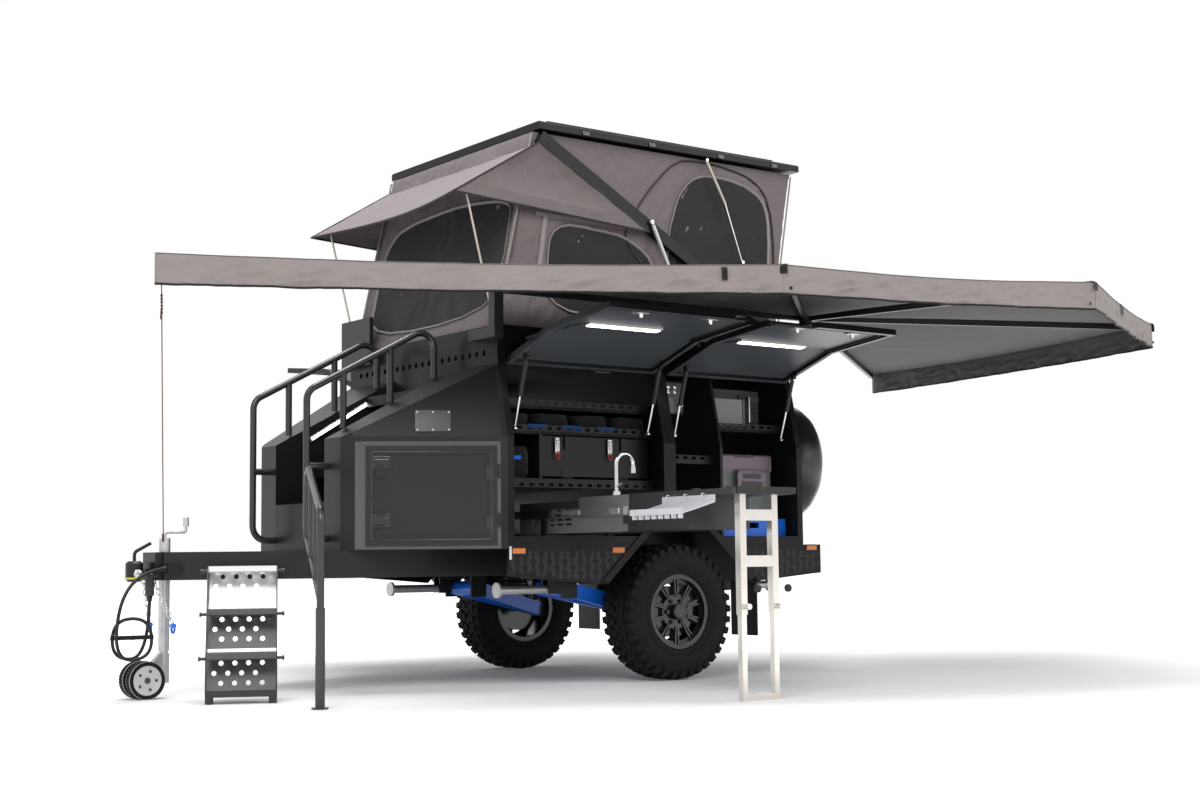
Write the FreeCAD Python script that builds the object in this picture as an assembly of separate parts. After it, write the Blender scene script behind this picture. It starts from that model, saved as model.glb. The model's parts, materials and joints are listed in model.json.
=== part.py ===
import FreeCAD
import Part
import math
import os

# Off-road camper trailer, set up for camping: kitchen out, side hatches up, roof tent and wing awning open.
# Lengths are millimetres. X runs from the coupling to the rear, Y to the right side, Z up.
# Sizes are worked out from the ground below the axle, and the finished pieces are moved so that
# the origin is in the bore of the coupling.

# Shared clearances
overrun = 30.0
running_gap = 0.3
seat_gap = 0.3
door_gap = 6.0

# Coupling and drawbar
coupling_x = -3000.0
coupling_z = 664.0
coupling_pin_r = 17.5
coupling_bore_h = 84.0
coupling_throat_r = 46.0
coupling_cap_h = 26.0
coupling_shank_r = 26.0
coupling_flange_t = 18.0
coupling_flange_w = 120.0
coupling_lever_r = 9.0
coupling_lever_h = 95.0
coupling_lever_back = 90.0
draw_tip_x = -2900.0
draw_tip_y = 60.0
draw_rear_x = -2000.0
draw_tip_len = 24.0
rail_from_wheel = 310.0
rail_w = 50.0
rail_h = 150.0
rail_top_z = 778.0
rail_rear_x = 1080.0
cross_w = 60.0
cross_h = 100.0
cross_x_shares = (0.002, 0.27, 0.72, 0.92)
pivot_beam_h = 90.0

# Wheels
tyre_d = 804.0
tyre_w = 270.0
tread_w = 232.0
tyre_shoulder_drop = 26.0
tyre_wall = 20.0
tread_t = 34.0
track = 1620.0
rim_seat_d = 406.0
rim_lip_d = 442.0
rim_w = 236.0
rim_t = 9.0
rim_face_t = 22.0
rim_face_in = 34.0
rim_window_in_d = 206.0
rim_window_out_d = 352.0
spoke_count = 10
spoke_share = 0.36
cap_d = 96.0
cap_h = 42.0
nut_d = 24.0
nut_h = 16.0
nut_count = 6
nut_pitch_d = 139.7
drum_d = 300.0
drum_w = 78.0
spindle_d = 52.0
spindle_cap_gap = 6.0

# Suspension
pivot_x = -600.0
pivot_z = 545.0
pivot_tube_r = 44.0
arm_in_from_wheel = 465.0
arm_out_from_wheel = 178.0
arm_t = 84.0
arm_end_w = 96.0
arm_window_share = 0.42
pivot_cheek_t = 12.0
bag_x = -215.0
bag_r = 66.0
bag_fold_count = 3
bag_plate_share = 0.8
shock_r = 24.0
shock_rod_r = 10.0
shock_low_x = -70.0
shock_top_x = -300.0
shock_from_wheel = 245.0
shock_pin_r = 12.0
shock_top_drop = 40.0
shock_share = 0.45

# Body
body_front_x = -1233.0
body_rear_x = 996.0
body_from_wheel = 140.0
crease_z = 1400.0
eave_in = 100.0
eave_z = 1850.0
body_top_z = 1932.0
sill_h = 70.0
frame_t = 40.0
floor_t = 28.0
post_w = 43.0
mid_post_x0 = -120.0
mid_post_x1 = -30.0
wall_t = 30.0
roof_t = 28.0
arch_top_half = 220.0
arch_top_z = 880.0
arch_low_half = 550.0
arch_low_z = 575.0
arch_rim_w = 42.0
arch_rim_proud = 8.0
liner_t = 12.0
liner_from_wheel = 160.0
skirt_t = 20.0
skirt_front_z = 628.0
skirt_wheel_z = 569.0
skirt_rear_z = 620.0
skirt_rear_x = 1143.0
bumper_top_z = 796.0
bumper_low_z = 640.0
flap_x = 612.0
flap_t = 8.0
flap_low_z = 240.0
flap_w = 240.0
rack_hole_r = 17.0
rack_hole_pitch = 75.0
rack_hole_margin = 90.0

# Nose lockers and stairs
nose_x = -2027.0
nose_in_y = 300.0
nose_front_y = 488.0
nose_chamfer_x = -1980.0
nose_chamfer_y = 550.0
nose_side_x = -1276.0
nose_top_front_z = 1400.0
nose_top_rear_z = 1820.0
locker_t = 25.0
door_low_z = 815.0
door_top_z = 1330.0
door_front_share = 0.10
door_rear_share = 0.95
door_lip = 16.0
door_lip_t = 14.0
door_hinge_r = 9.0
latch_w = 42.0
latch_h = 74.0
latch_t = 12.0
latch_height_shares = (0.24, 0.76)
stair_count = 4
stair_first_z = 1050.0
stair_last_z = 1710.0
stair_t = 28.0
stair_lip = 60.0
stair_hole_r = 18.0
stair_hole_count = 5
stair_side_t = 12.0
stair_face_t = 16.0

# Handrails
rail_tube_r = 19.0
rail_bend_r = 85.0
hand_y = 335.0
hand_front_x = -2155.0
hand_low_z = 846.0
hand_turn_z = 1660.0
hand_top_x = -1335.0
hand_top_z = 2090.0
hand_post_x = (-1928.0, -1626.0)
stub_z = 1245.0
side_rail_in_z = 1245.0
side_rail_in_low_z = 846.0
side_rail_out_x = -2555.0
side_rail_out_y = -1267.0
side_rail_out_z = 965.0
side_rail_out_low_z = 512.0
side_rail_bar_shares = (0.34, 0.67)
side_rail_sleeve_r = 24.0
side_rail_sleeve_top_z = 490.0
side_rail_in_gap = 30.0
foot_disc_r = 42.0
foot_disc_h = 8.0

# Folding steps on the left drawbar rail
step_count = 3
step_w = 350.0
step_at_share = 0.28
step_top_z = 700.0
step_rise = 222.0
step_run = 110.0
step_depth = 170.0
step_t = 6.0
step_lip = 26.0
step_side_w = 24.0
step_side_t = 6.0
step_hole_r = 13.0
step_hole_cols = 4
step_riser_lean = 60.0
step_riser_gap = 14.0
step_rod_r = 8.0
step_knob_r = 12.0
step_foot_r = 21.0
step_foot_h = 34.0
step_off_rail = 60.0

# Jockey stand
jockey_x = -2830.0
jockey_tube_r = 30.0
jockey_tube_low_z = 250.0
jockey_tube_top_z = 838.0
jockey_collar_r = 42.0
jockey_collar_h = 70.0
jockey_crank_len = 120.0
jockey_crank_r = 8.0
jockey_knob_r = 16.0
jockey_inner_r = 24.0
jockey_trail = 118.0
jockey_wheel_r = 100.0
jockey_wheel_w = 52.0
jockey_wheel_gap = 44.0
jockey_tread_t = 22.0
jockey_fork_t = 10.0
jockey_axle_r = 10.0

# Side hatches
hatch_t = 34.0
hatch_proud = 8.0
hatch_low_gap = 8.0
hatch_top_gap = 3.0
hatch_open_deg = 96.0
hinge_r = 7.0
hinge_off = 7.5
hatch_rim_t = 14.0
hatch_rim_w = 30.0
strut_reach = 130.0
strut_inset = 48.0
strut_foot_in = 82.0
strut_foot_z = 1455.0
strut_tube_r = 13.0
strut_rod_r = 6.0
strut_tube_share = 0.55
strut_hold = 34.0
strut_eye_r = 14.0
strut_eye_t = 16.0
strut_neck_r = 7.5
strut_pin_r = 9.0
strut_neck_share = 1.6
strut_side = 52.0
strut_bracket_t = 6.0

# Interior
divider_t = 20.0
divider_x = 355.0
front_divider_x = -90.0
shelf_t = 18.0
shelf_lip_h = 34.0
shelf_lip_t = 4.0
shelf_inset = 108.0
shelf_low_z = 1160.0
shelf_mid_z = 1432.0
shelf_top_z = 1580.0
cube_x = -935.0
panel_shelf_z = 1290.0
oven_shelf_z = 1500.0
cabinet_door_t = 18.0
cabinet_hinge_r = 8.0
bag_count = 4
bag_h = 112.0
bag_depth = 320.0
bag_gap = 14.0
bag_side_gap = 8.0
bag_round = 24.0
bag_edge_share = 0.9
cube_bag_h = 190.0
oven_side_gap = 12.0
oven_door_share = 0.72
oven_frame = 26.0
oven_bar_r = 6.0
oven_knob_r = 16.0
knob_shares = (0.32, 0.62)
meter_top_gap = 46.0
meter_knob_t = 12.0
meter_knob_r = 20.0
meter_knob_shares = (0.55, 0.72, 0.89)
meter_screen_shares = (0.1, 0.42, 0.3, 0.7)
oven_w = 452.0
oven_h = 242.0
oven_depth = 340.0
oven_door_t = 22.0
oven_foot = 10.0
meter_w = 280.0
meter_h = 200.0
meter_t = 60.0
fridge_x = 449.0
fridge_w = 441.0
fridge_h = 404.0
fridge_depth = 600.0
fridge_lid_h = 95.0
slide_x = 400.0
slide_w = 548.0
slide_h = 108.0
slide_rail_h = 44.0
slide_depth = 700.0
slide_wall = 16.0
slide_slot_w = 96.0
slide_slot_h = 34.0
slide_slot_share = 0.62
fridge_set_back = 60.0
fridge_round = 18.0
fridge_lid_over = 6.0
fridge_grip_w = 170.0
fridge_grip_t = 34.0
fridge_grip_h = 70.0
fridge_grip_shares = (0.36, 0.75, 0.35)

# Kitchen
kitchen_x0 = -900.0
kitchen_x1 = -485.0
kitchen_low_z = 862.0
kitchen_top_z = 1062.0
drawer_in_y = 575.0
drawer_out_y = 1610.0
drawer_t = 12.0
sink_out_y = 2110.0
table_out_y = 2450.0
table_t = 30.0
bench_t = 22.0
bench_step = 3.0
bowl_w = 300.0
bowl_l = 330.0
bowl_h = 130.0
bowl_t = 4.0
slide_bar_h = 44.0
slide_bar_t = 14.0
vent_cols = 5
vent_rows = 4
vent_w = 62.0
vent_h = 12.0
vent_pitch_y = 82.0
vent_pitch_z = 26.0
vent_in = 120.0
vent_up = 44.0
bar_end = 30.0
runner_t = 12.0
runner_post_w = 40.0
bench_edge = 30.0
leg_y = 2390.0
leg_x0 = -800.0
leg_x1 = -545.0
leg_w = 40.0
leg_in_w = 32.0
leg_split_z = 430.0
leg_plate_h = 56.0
leg_plate_t = 6.0
leg_plate_z = (900.0, 668.0)
leg_foot_h = 34.0
leg_knob_r = 15.0
faucet_y = 1450.0
faucet_r = 11.0
faucet_h = 170.0
faucet_bend_r = 58.0
faucet_drop = 46.0
faucet_in_x = 40.0
faucet_sizes = (2.0, 3.0, 1.35, 4.0, 5.0, 6.0)
rack_l = 420.0
rack_w = 220.0
rack_t = 5.0
rack_drop = 34.0
rack_slope = 60.0
rack_lip = 26.0
rack_in = 130.0
rack_pegs = 8

# Spare wheel and rear
spare_y = -430.0
spare_z = 1340.0
spare_d = 806.0
spare_t = 250.0
spare_gap = 90.0
spare_round = 60.0
carrier_w = 70.0
carrier_t = 12.0
lug_in = 130.0
lug_len = 70.0
lug_t = 22.0
lug_h = 80.0
lug_hole_r = 15.0
flap_bar = 30.0

# Stabiliser legs
stab_from_wheel = 205.0
stab_front_x = -700.0
stab_rear_x = 640.0
stab_z = 545.0
stab_len = 372.0
stab_r = 28.0
stab_foot_r = 44.0
stab_foot_t = 16.0
stab_pin_r = 12.0
stab_boss_r = 32.0
stab_tube_r = 25.0
stab_cheek_t = 10.0
stab_cheek_w = 87.0

# Roof tent
tent_rear_x = 1000.0
tent_out = 3.0
tray_h = 110.0
tray_wall = 12.0
tray_gap = 3.0
tent_barrel_r = 7.0
tent_barrel_off = 8.0
tent_barrel_len = 300.0
tent_barrel_y = (-700.0, -100.0, 500.0)
mid_angle = 29.3
mid_t = 70.0
mid_w = 40.0
mid_front_x = -1225.0
lid_lift = 7.5
lid_over = 20.0
lid_len = 2050.0
lid_t = 46.0
lid_edge_cut = 10.0
roof_rail_y = (-720.0, 0.0, 720.0)
roof_rail_w = 50.0
roof_rail_h = 38.0
roof_rail_inset = 130.0
tent_fabric_t = 14.0
tent_wall_gap = 8.0
tent_wall_front_x = -1212.0
tent_wall_rear_x = 940.0
tent_wall_knee = (979.0, 2606.0)
tent_wall_top_rear_x = 1085.0
tent_tuck = 16.0
tent_tuck_shares = ((-1.0, -1.6), (2.4, 1.4), (3.6, 0.0))
fly_front = (-1518.0, 2772.0)
fly_back_share = 0.42
fly_out = 2.0
fly_t = 10.0
tent_strut_top = (-122.0, 2743.0)
tent_strut_foot = (233.0, 2000.0)
tent_strut_stud = 8.0
tent_strut_tube_len = 460.0
tent_strut_rod_start = 400.0

# Wing awning
hub_out = 157.0
hub_r = 42.0
hub_low_z = 1952.0
hub_base_t = 80.0
hub_base_half = 40.0
awning_z = 2250.0
awning_drop = 162.0
awning_t = 8.0
awning_reaches = ((-4270.0, 130.0), (-1420.0, -1330.0), (470.0, -1870.0), (2290.0, -940.0), (2950.0, 2290.0))
arm_h = 38.0
arm_w = 26.0
arm_short = 66.0
rest_x = -1300.0
rest_w = 60.0
rest_y = -700.0
far_rest_x = -1290.0
far_rest_t = 26.0
far_rest_y = (505.0, 868.0)
far_rest_low_z = 1945.0
far_rest_foot_h = 60.0
far_rest_top_z = 2240.0

# Trailer cable
cable_r = 9.0
cable_share = 0.45
cable_run = ((116.0, -140.0, 26.0), (-100.0, -200.0, 8.0), (-200.0, -212.0, -442.0), (20.0, -200.0, -442.0),
             (20.0, -188.0, -232.0), (-185.0, -184.0, -232.0), (-185.0, -174.0, -442.0),
             (45.0, -104.0, -442.0), (45.0, -104.0, -116.0))
plug_r = 24.0
plug_len = 95.0
plug_lid_w = 58.0
plug_lid_t = 10.0
box_l = 80.0
box_h = 46.0
box_out = 25.0
box_gap = 4.0
holder_l = 67.0
holder_y = (-134.0, -55.0)
holder_t = 7.5


def vec(x, y, z):
    return FreeCAD.Vector(x, y, z)


def block(x0, x1, y0, y1, z0, z1):
    """Box between two corners, given in any order."""
    low = vec(min(x0, x1), min(y0, y1), min(z0, z1))
    return Part.makeBox(abs(x1 - x0), abs(y1 - y0), abs(z1 - z0), low)


def face_of(points):
    return Part.Face(Part.makePolygon(list(points) + [points[0]]))


def prism_x(points, x0, x1):
    """Outline of (y, z) points pushed along X."""
    return face_of([vec(x0, y, z) for y, z in points]).extrude(vec(x1 - x0, 0, 0))


def prism_y(points, y0, y1):
    """Outline of (x, z) points pushed along Y."""
    return face_of([vec(x, y0, z) for x, z in points]).extrude(vec(0, y1 - y0, 0))


def prism_z(points, z0, z1):
    """Outline of (x, y) points pushed along Z."""
    return face_of([vec(x, y, z0) for x, y in points]).extrude(vec(0, 0, z1 - z0))


def rod(start, end, radius):
    """Round bar between two points."""
    way = end - start
    return Part.makeCylinder(radius, way.Length, start, way)


def ring(start, end, outer, inner):
    """Tube between two points."""
    return rod(start, end, outer).cut(rod(start, end, inner))


def fused(shapes):
    """One solid of pieces that are welded or moulded together."""
    shapes = list(shapes)
    return shapes[0].fuse(shapes[1:]).removeSplitter() if len(shapes) > 1 else shapes[0]


def cut_all(shape, tools):
    return shape.cut(list(tools))


def mirrored(shape):
    """The same piece on the other side of the trailer."""
    return shape.mirror(vec(0, 0, 0), vec(0, 1, 0))


def turned(shape, centre, axis, degrees):
    copy = shape.copy()
    copy.rotate(centre, axis, degrees)
    return copy


def moved(shape, x, y, z):
    copy = shape.copy()
    copy.translate(vec(x, y, z))
    return copy


def bent_bar(points, radius, bend):
    """Round bar along a route whose corners are turned on one bend radius."""
    edges = []
    start = points[0]
    for before, corner, after in zip(points, points[1:], points[2:]):
        back = (before - corner).normalize()
        ahead = (after - corner).normalize()
        half = back.getAngle(ahead) / 2
        trim = bend / math.tan(half)
        first = corner + back * trim
        last = corner + ahead * trim
        middle = corner + (back + ahead).normalize() * (bend / math.sin(half) - bend)
        edges += [Part.LineSegment(start, first).toShape(), Part.Arc(first, middle, last).toShape()]
        start = last
    edges.append(Part.LineSegment(start, points[-1]).toShape())
    section = Part.Wire(Part.makeCircle(radius, points[0], points[1] - points[0]))
    return Part.Wire(edges).makePipeShell([section], True, False)


def offset_line(points, distance):
    """A line of 2-D points set off to its left, its corners mitred."""
    normals = []
    for (ax, ay), (bx, by) in zip(points, points[1:]):
        length = math.hypot(bx - ax, by - ay)
        normals.append(((ay - by) / length, (bx - ax) / length))
    shifted = []
    for index, (x, y) in enumerate(points):
        before = normals[max(index - 1, 0)]
        after = normals[min(index, len(normals) - 1)]
        sum_x, sum_y = before[0] + after[0], before[1] + after[1]
        reach = distance * 2 / (sum_x ** 2 + sum_y ** 2)
        shifted.append((x + sum_x * reach, y + sum_y * reach))
    return shifted


def band(points, thickness):
    """Outline of a bent sheet that lies to the left of a line of points."""
    return list(points) + offset_line(points, thickness)[::-1]


def write(name, shape):
    """Move a piece to the coupling's frame and write its file."""
    placed = moved(shape, -coupling_x, 0, -coupling_z)
    placed.exportStep("parts/" + name + ".step")


wheel_y = track / 2
wheel_z = tyre_d / 2
rail_y = wheel_y - rail_from_wheel
arm_in_y = wheel_y - arm_in_from_wheel
arm_out_y = wheel_y - arm_out_from_wheel
shock_y = wheel_y - shock_from_wheel
stab_y = wheel_y - stab_from_wheel
liner_in_y = wheel_y - liner_from_wheel
body_half_w = wheel_y + body_from_wheel
eave_half_w = body_half_w - eave_in
strut_foot_y = body_half_w - strut_foot_in
lean = eave_in / (eave_z - crease_z)
tent_half_w = eave_half_w + tent_out
hub_x = tent_rear_x
hub_y = -tent_half_w - hub_out
awning_corners = [(hub_x + x, hub_y + y) for x, y in awning_reaches]
rail_out_y = rail_y + rail_w / 2
rail_low_z = rail_top_z - rail_h
body_low_z = rail_top_z
sill_top_z = body_low_z + sill_h
floor_z = body_low_z + floor_t
inner_y = body_half_w - frame_t


def side_line(inset):
    """Points (y, z) of the body's side, from the sill up to the roof, set in from the outer skin."""
    outer = [(body_half_w, body_low_z), (body_half_w, crease_z), (eave_half_w, eave_z),
             (eave_half_w, body_top_z)]
    return offset_line(outer, inset)


def side_y(z, inset):
    """Half width of the body at a height, set in from the outer skin."""
    line = side_line(inset)
    if z >= line[2][1]:
        return line[2][0]
    if z <= line[1][1]:
        return line[1][0]
    share = (z - line[1][1]) / (line[2][1] - line[1][1])
    return line[1][0] + share * (line[2][0] - line[1][0])


def body_slice(x0, x1, z0, z1, inset):
    """Full-width board across the body whose ends follow the sides."""
    right = [(side_y(z0, inset), z0)]
    right += [(y, z) for y, z in side_line(inset) if z0 < z < z1]
    right += [(side_y(z1, inset), z1)]
    left = [(-y, z) for y, z in right[::-1]]
    return prism_x(right + left, x0, x1)


arch_line = [(-arch_low_half, arch_low_z), (-arch_top_half, arch_top_z), (arch_top_half, arch_top_z),
             (arch_low_half, arch_low_z)]


def arch_outline(offset):
    """Wheel arch outline, set outwards, with its open foot run down past the panels."""
    line = offset_line(arch_line, offset)
    slope = (line[1][0] - line[0][0]) / (line[1][1] - line[0][1])
    low = line[0][1] - arch_rim_w * 2
    foot = line[0][0] - slope * arch_rim_w * 2
    return [(foot, low), line[1], line[2], (-foot, low)]


def draw_rail_y(x, offset):
    """Distance from the middle of a line beside the right drawbar rail's centre, at a place ahead of its bend."""
    slope = (rail_y - draw_tip_y) / (draw_rear_x - draw_tip_x)
    return draw_tip_y + slope * (x - draw_tip_x) + offset * math.hypot(1, slope)


def chassis_rails():
    """Right rail of the ladder frame and its drawbar rail, which meet in a mitre."""
    half = rail_w / 2
    run = [(draw_tip_x, draw_tip_y), (draw_rear_x, rail_y), (rail_rear_x, rail_y)]
    outer, inner = offset_line(run, half), offset_line(run, -half)
    start = draw_tip_x + draw_tip_len + seat_gap
    draw = prism_z([(start, draw_rail_y(start, half)), max(outer[1], inner[1], key=lambda p: p[1]),
                    min(outer[1], inner[1], key=lambda p: p[1]), (start, draw_rail_y(start, -half))],
                   rail_low_z, rail_top_z)
    main = prism_z([(outer[1][0] + seat_gap, outer[1][1]), outer[2], inner[2],
                    (inner[1][0] + seat_gap, inner[1][1])], rail_low_z, rail_top_z)
    return [main, draw]


def chassis_crosses():
    """Cross members between the rails, the suspension's pivot beam and the drawbar's tip."""
    half = rail_w / 2
    reach = rail_y - half - seat_gap
    span = rail_rear_x - draw_rear_x
    pieces = []
    for share in cross_x_shares:
        x = draw_rear_x + share * span
        pieces.append(block(x, x + cross_w, -reach, reach, rail_top_z - cross_h, rail_top_z))
    pieces.append(block(rail_rear_x - cross_w, rail_rear_x, -reach, reach, rail_top_z - cross_h, rail_top_z))
    pieces.append(block(pivot_x - pivot_beam_h / 2, pivot_x + pivot_beam_h / 2, -reach, reach,
                        rail_low_z, rail_low_z + pivot_beam_h))
    pieces.append(block(draw_tip_x - coupling_flange_t, draw_tip_x + draw_tip_len, -draw_tip_y - half,
                        draw_tip_y + half, rail_low_z, rail_top_z))
    return pieces


def coupling_head():
    """Pin coupling: a throat that drops over the tow vehicle's pin, its shank and release lever."""
    low = coupling_z - coupling_bore_h / 2
    top = coupling_z + coupling_bore_h / 2 + coupling_cap_h
    throat = rod(vec(coupling_x, 0, low), vec(coupling_x, 0, top), coupling_throat_r)
    throat = throat.makeChamfer(coupling_cap_h / 2, [throat.Edges[0], throat.Edges[2]])
    face_x = draw_tip_x - coupling_flange_t
    shank = rod(vec(coupling_x, 0, coupling_z), vec(face_x, 0, coupling_z), coupling_shank_r)
    half = coupling_flange_w / 2
    flange = block(face_x - coupling_flange_t, face_x, -half, half, coupling_z - half / 2, coupling_z + half)
    lever = bent_bar([vec(coupling_x, 0, top - coupling_cap_h),
                      vec(coupling_x, 0, top + coupling_lever_h / 2),
                      vec(coupling_x + coupling_lever_back, 0, top + coupling_lever_h)],
                     coupling_lever_r, coupling_lever_r * 3)
    bore = rod(vec(coupling_x, 0, low - overrun), vec(coupling_x, 0, low + coupling_bore_h), coupling_pin_r)
    holder_z = cable_route()[0][-1].z + plug_len + plug_lid_t + seat_gap
    holder = block(face_x - holder_l, face_x, holder_y[0], holder_y[1], holder_z, holder_z + holder_t)
    return fused([throat, shank, flange, lever, holder]).cut(bore)


def tyre():
    """Tyre on the right: a closed carcass with square shoulders, open towards the rim."""
    crown = wheel_z
    shoulder = crown - tyre_shoulder_drop
    half_tread, half = tread_w / 2, tyre_w / 2
    bead, lip = rim_seat_d / 2, rim_lip_d / 2
    bead_y = rim_w / 2 - rim_t
    inner_y_half = half - tyre_wall
    outline = []
    points = [(bead, bead_y), (lip, bead_y), ("arc", ((lip + shoulder) / 2, half), (shoulder, half - rim_t)),
              (crown, half_tread), (crown, -half_tread), (shoulder, -half + rim_t),
              ("arc", ((lip + shoulder) / 2, -half), (lip, -bead_y)), (bead, -bead_y), (bead, -bead_y + tyre_wall),
              (lip, -bead_y + tyre_wall),
              ("arc", ((lip + shoulder) / 2, -inner_y_half), (crown - tread_t, -half_tread + tyre_wall)),
              (crown - tread_t, half_tread - tyre_wall),
              ("arc", ((lip + shoulder) / 2, inner_y_half), (lip, bead_y - tyre_wall)),
              (bead, bead_y - tyre_wall), (bead, bead_y)]

    def spot(radius, y):
        return vec(0, wheel_y + y, wheel_z + radius)

    here = spot(*points[0])
    for point in points[1:]:
        if point[0] == "arc":
            there = spot(*point[2])
            outline.append(Part.Arc(here, spot(*point[1]), there).toShape())
        else:
            there = spot(*point)
            outline.append(Part.LineSegment(here, there).toShape())
        here = there
    return Part.Face(Part.Wire(outline)).revolve(vec(0, wheel_y, wheel_z), vec(0, 1, 0), 360)


def wheel_ring(outer_d, inner_d, y0, y1):
    """Ring about the right wheel's axle, between two places out from the wheel's middle."""
    return ring(vec(0, wheel_y + y0, wheel_z), vec(0, wheel_y + y1, wheel_z), outer_d / 2, inner_d / 2)


def rim():
    """Alloy rim on the right: barrel, lips, a spoked face with its windows, nuts and centre cap."""
    half = rim_w / 2
    barrel = wheel_ring(rim_seat_d, rim_seat_d - rim_t * 2, -half, half)
    lips = [wheel_ring(rim_lip_d, rim_seat_d - rim_t * 2, half - rim_t, half),
            wheel_ring(rim_lip_d, rim_seat_d - rim_t * 2, -half, -half + rim_t)]
    face_y = half - rim_face_in
    back_y = face_y - rim_face_t
    disc = wheel_ring(rim_seat_d - rim_t, spindle_d + spindle_cap_gap * 2, back_y, face_y)
    windows = []
    step = 360 / spoke_count
    for index in range(spoke_count):
        full = wheel_ring(rim_window_out_d, rim_window_in_d, back_y - overrun, face_y + overrun)
        turn = math.radians(step * (1 - spoke_share) / 2)
        far = rim_window_out_d
        wedge = [(0, 0), (far * math.cos(turn), -far * math.sin(turn)),
                 (far * math.cos(turn), far * math.sin(turn))]
        slot = prism_y([(x, wheel_z + z) for x, z in wedge], wheel_y + back_y - overrun,
                       wheel_y + face_y + overrun)
        cutter = full.common(slot)
        windows.append(turned(cutter, vec(0, wheel_y, wheel_z), vec(0, 1, 0), step * index))
    nuts = []
    for index in range(nut_count):
        nut = rod(vec(nut_pitch_d / 2, wheel_y + face_y, wheel_z),
                  vec(nut_pitch_d / 2, wheel_y + face_y + nut_h, wheel_z), nut_d / 2)
        nuts.append(turned(nut, vec(0, wheel_y, wheel_z), vec(0, 1, 0), index * 360 / nut_count))
    cap = rod(vec(0, wheel_y + face_y, wheel_z), vec(0, wheel_y + face_y + cap_h, wheel_z), cap_d / 2)
    cap = cap.makeFillet(cap_h / 4, [cap.Edges[0]])
    return fused([barrel, disc.cut(windows), cap] + lips + nuts)


def brake_drum():
    """Drum and hub that turn on the right spindle, seated on the back of the rim's face."""
    out_y = rim_w / 2 - rim_face_in - rim_face_t
    drum = wheel_ring(drum_d, spindle_d + running_gap * 2, out_y - drum_w, out_y)
    return drum


def trailing_arm():
    """Right suspension arm: pivot tube, boxed legs that meet behind, and the stub axle."""
    length = math.hypot(pivot_x, pivot_z - wheel_z)
    drop = math.degrees(math.asin((pivot_z - wheel_z) / length))
    end_x = pivot_x + length
    low, top = pivot_z - arm_t / 2, pivot_z + arm_t / 2
    end = arm_end_w / 2
    outline = [(pivot_x, arm_in_y), (end_x, arm_out_y - arm_end_w), (end_x + end, arm_out_y - arm_end_w / 2),
               (end_x + end, arm_out_y), (pivot_x, arm_out_y)]
    plate = prism_z(outline, low, top)
    depth = arm_out_y - arm_in_y
    hole = [(pivot_x + end * 2, arm_in_y + depth * arm_window_share),
            (pivot_x + length * arm_window_share * 2 - end, arm_out_y - arm_end_w),
            (pivot_x + end * 2, arm_out_y - end)]
    arm = plate.cut(prism_z(hole, low - overrun, top + overrun))
    arm = turned(arm, vec(pivot_x, 0, pivot_z), vec(0, 1, 0), drop)
    tube = rod(vec(pivot_x, arm_in_y, pivot_z), vec(pivot_x, arm_out_y, pivot_z), pivot_tube_r)
    face_y = wheel_y + rim_w / 2 - rim_face_in
    spindle = rod(vec(0, arm_out_y - end, wheel_z), vec(0, face_y - spindle_cap_gap, wheel_z), spindle_d / 2)
    return fused([arm, tube, spindle])


def pivot_hanger():
    """Outrigger and cheeks under the right rail that hold the arm's pivot."""
    half = pivot_tube_r + pivot_cheek_t
    cheeks = []
    for y in (arm_in_y - running_gap - pivot_cheek_t, arm_out_y + running_gap):
        cheek = block(pivot_x - half, pivot_x + half, y, y + pivot_cheek_t, pivot_z - half,
                      rail_low_z - seat_gap)
        cheeks.append(cheek)
    reach = block(pivot_x - half, pivot_x + half, rail_out_y + seat_gap,
                  arm_out_y + running_gap + pivot_cheek_t, rail_low_z, rail_low_z + pivot_beam_h)
    return cheeks + [reach]


def arm_top_z(x):
    """Height of the right arm's upper face below a place on the rail."""
    slope = (pivot_z - wheel_z) / -pivot_x
    return pivot_z + slope * (pivot_x - x) + arm_t / 2


def air_bag():
    """Air spring between the right arm and its rail: a folded bellows between two plates."""
    low = arm_top_z(bag_x - bag_r) + seat_gap
    top = rail_low_z - seat_gap
    plate = (top - low) / (bag_fold_count * 4)
    fold = (top - low - plate * 2) / bag_fold_count
    start = vec(bag_x, rail_y, low)
    pieces = [rod(start, start + vec(0, 0, plate), bag_r * bag_plate_share),
              rod(vec(bag_x, rail_y, top - plate), vec(bag_x, rail_y, top), bag_r * bag_plate_share)]
    waist = bag_r - fold / 2
    for index in range(bag_fold_count):
        base = low + plate + index * fold
        line = Part.LineSegment(vec(bag_x, rail_y, base), vec(bag_x + waist, rail_y, base)).toShape()
        bulge = Part.Arc(vec(bag_x + waist, rail_y, base), vec(bag_x + bag_r, rail_y, base + fold / 2),
                         vec(bag_x + waist, rail_y, base + fold)).toShape()
        back = Part.LineSegment(vec(bag_x + waist, rail_y, base + fold),
                                vec(bag_x, rail_y, base + fold)).toShape()
        axis = Part.LineSegment(vec(bag_x, rail_y, base + fold), vec(bag_x, rail_y, base)).toShape()
        section = Part.Face(Part.Wire([line, bulge, back, axis]))
        pieces.append(section.revolve(vec(bag_x, rail_y, 0), vec(0, 0, 1), 360))
    return fused(pieces)


def shock():
    """Right damper from the arm up to a pin on the rail's outer face."""
    low = vec(shock_low_x, shock_y, arm_top_z(shock_low_x - shock_pin_r) + shock_pin_r + seat_gap)
    top = vec(shock_top_x, shock_y, rail_top_z - shock_top_drop - shock_pin_r * 2)
    middle = low + (top - low) * shock_share
    pin = rod(vec(top.x, rail_out_y + seat_gap, top.z), vec(top.x, shock_y + shock_r + shock_pin_r, top.z),
              shock_pin_r)
    foot = rod(vec(low.x, shock_y - shock_r, low.z), vec(low.x, shock_y + shock_r, low.z), shock_pin_r)
    return fused([rod(low, middle, shock_rod_r), rod(middle, top, shock_r), pin, foot])


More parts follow.
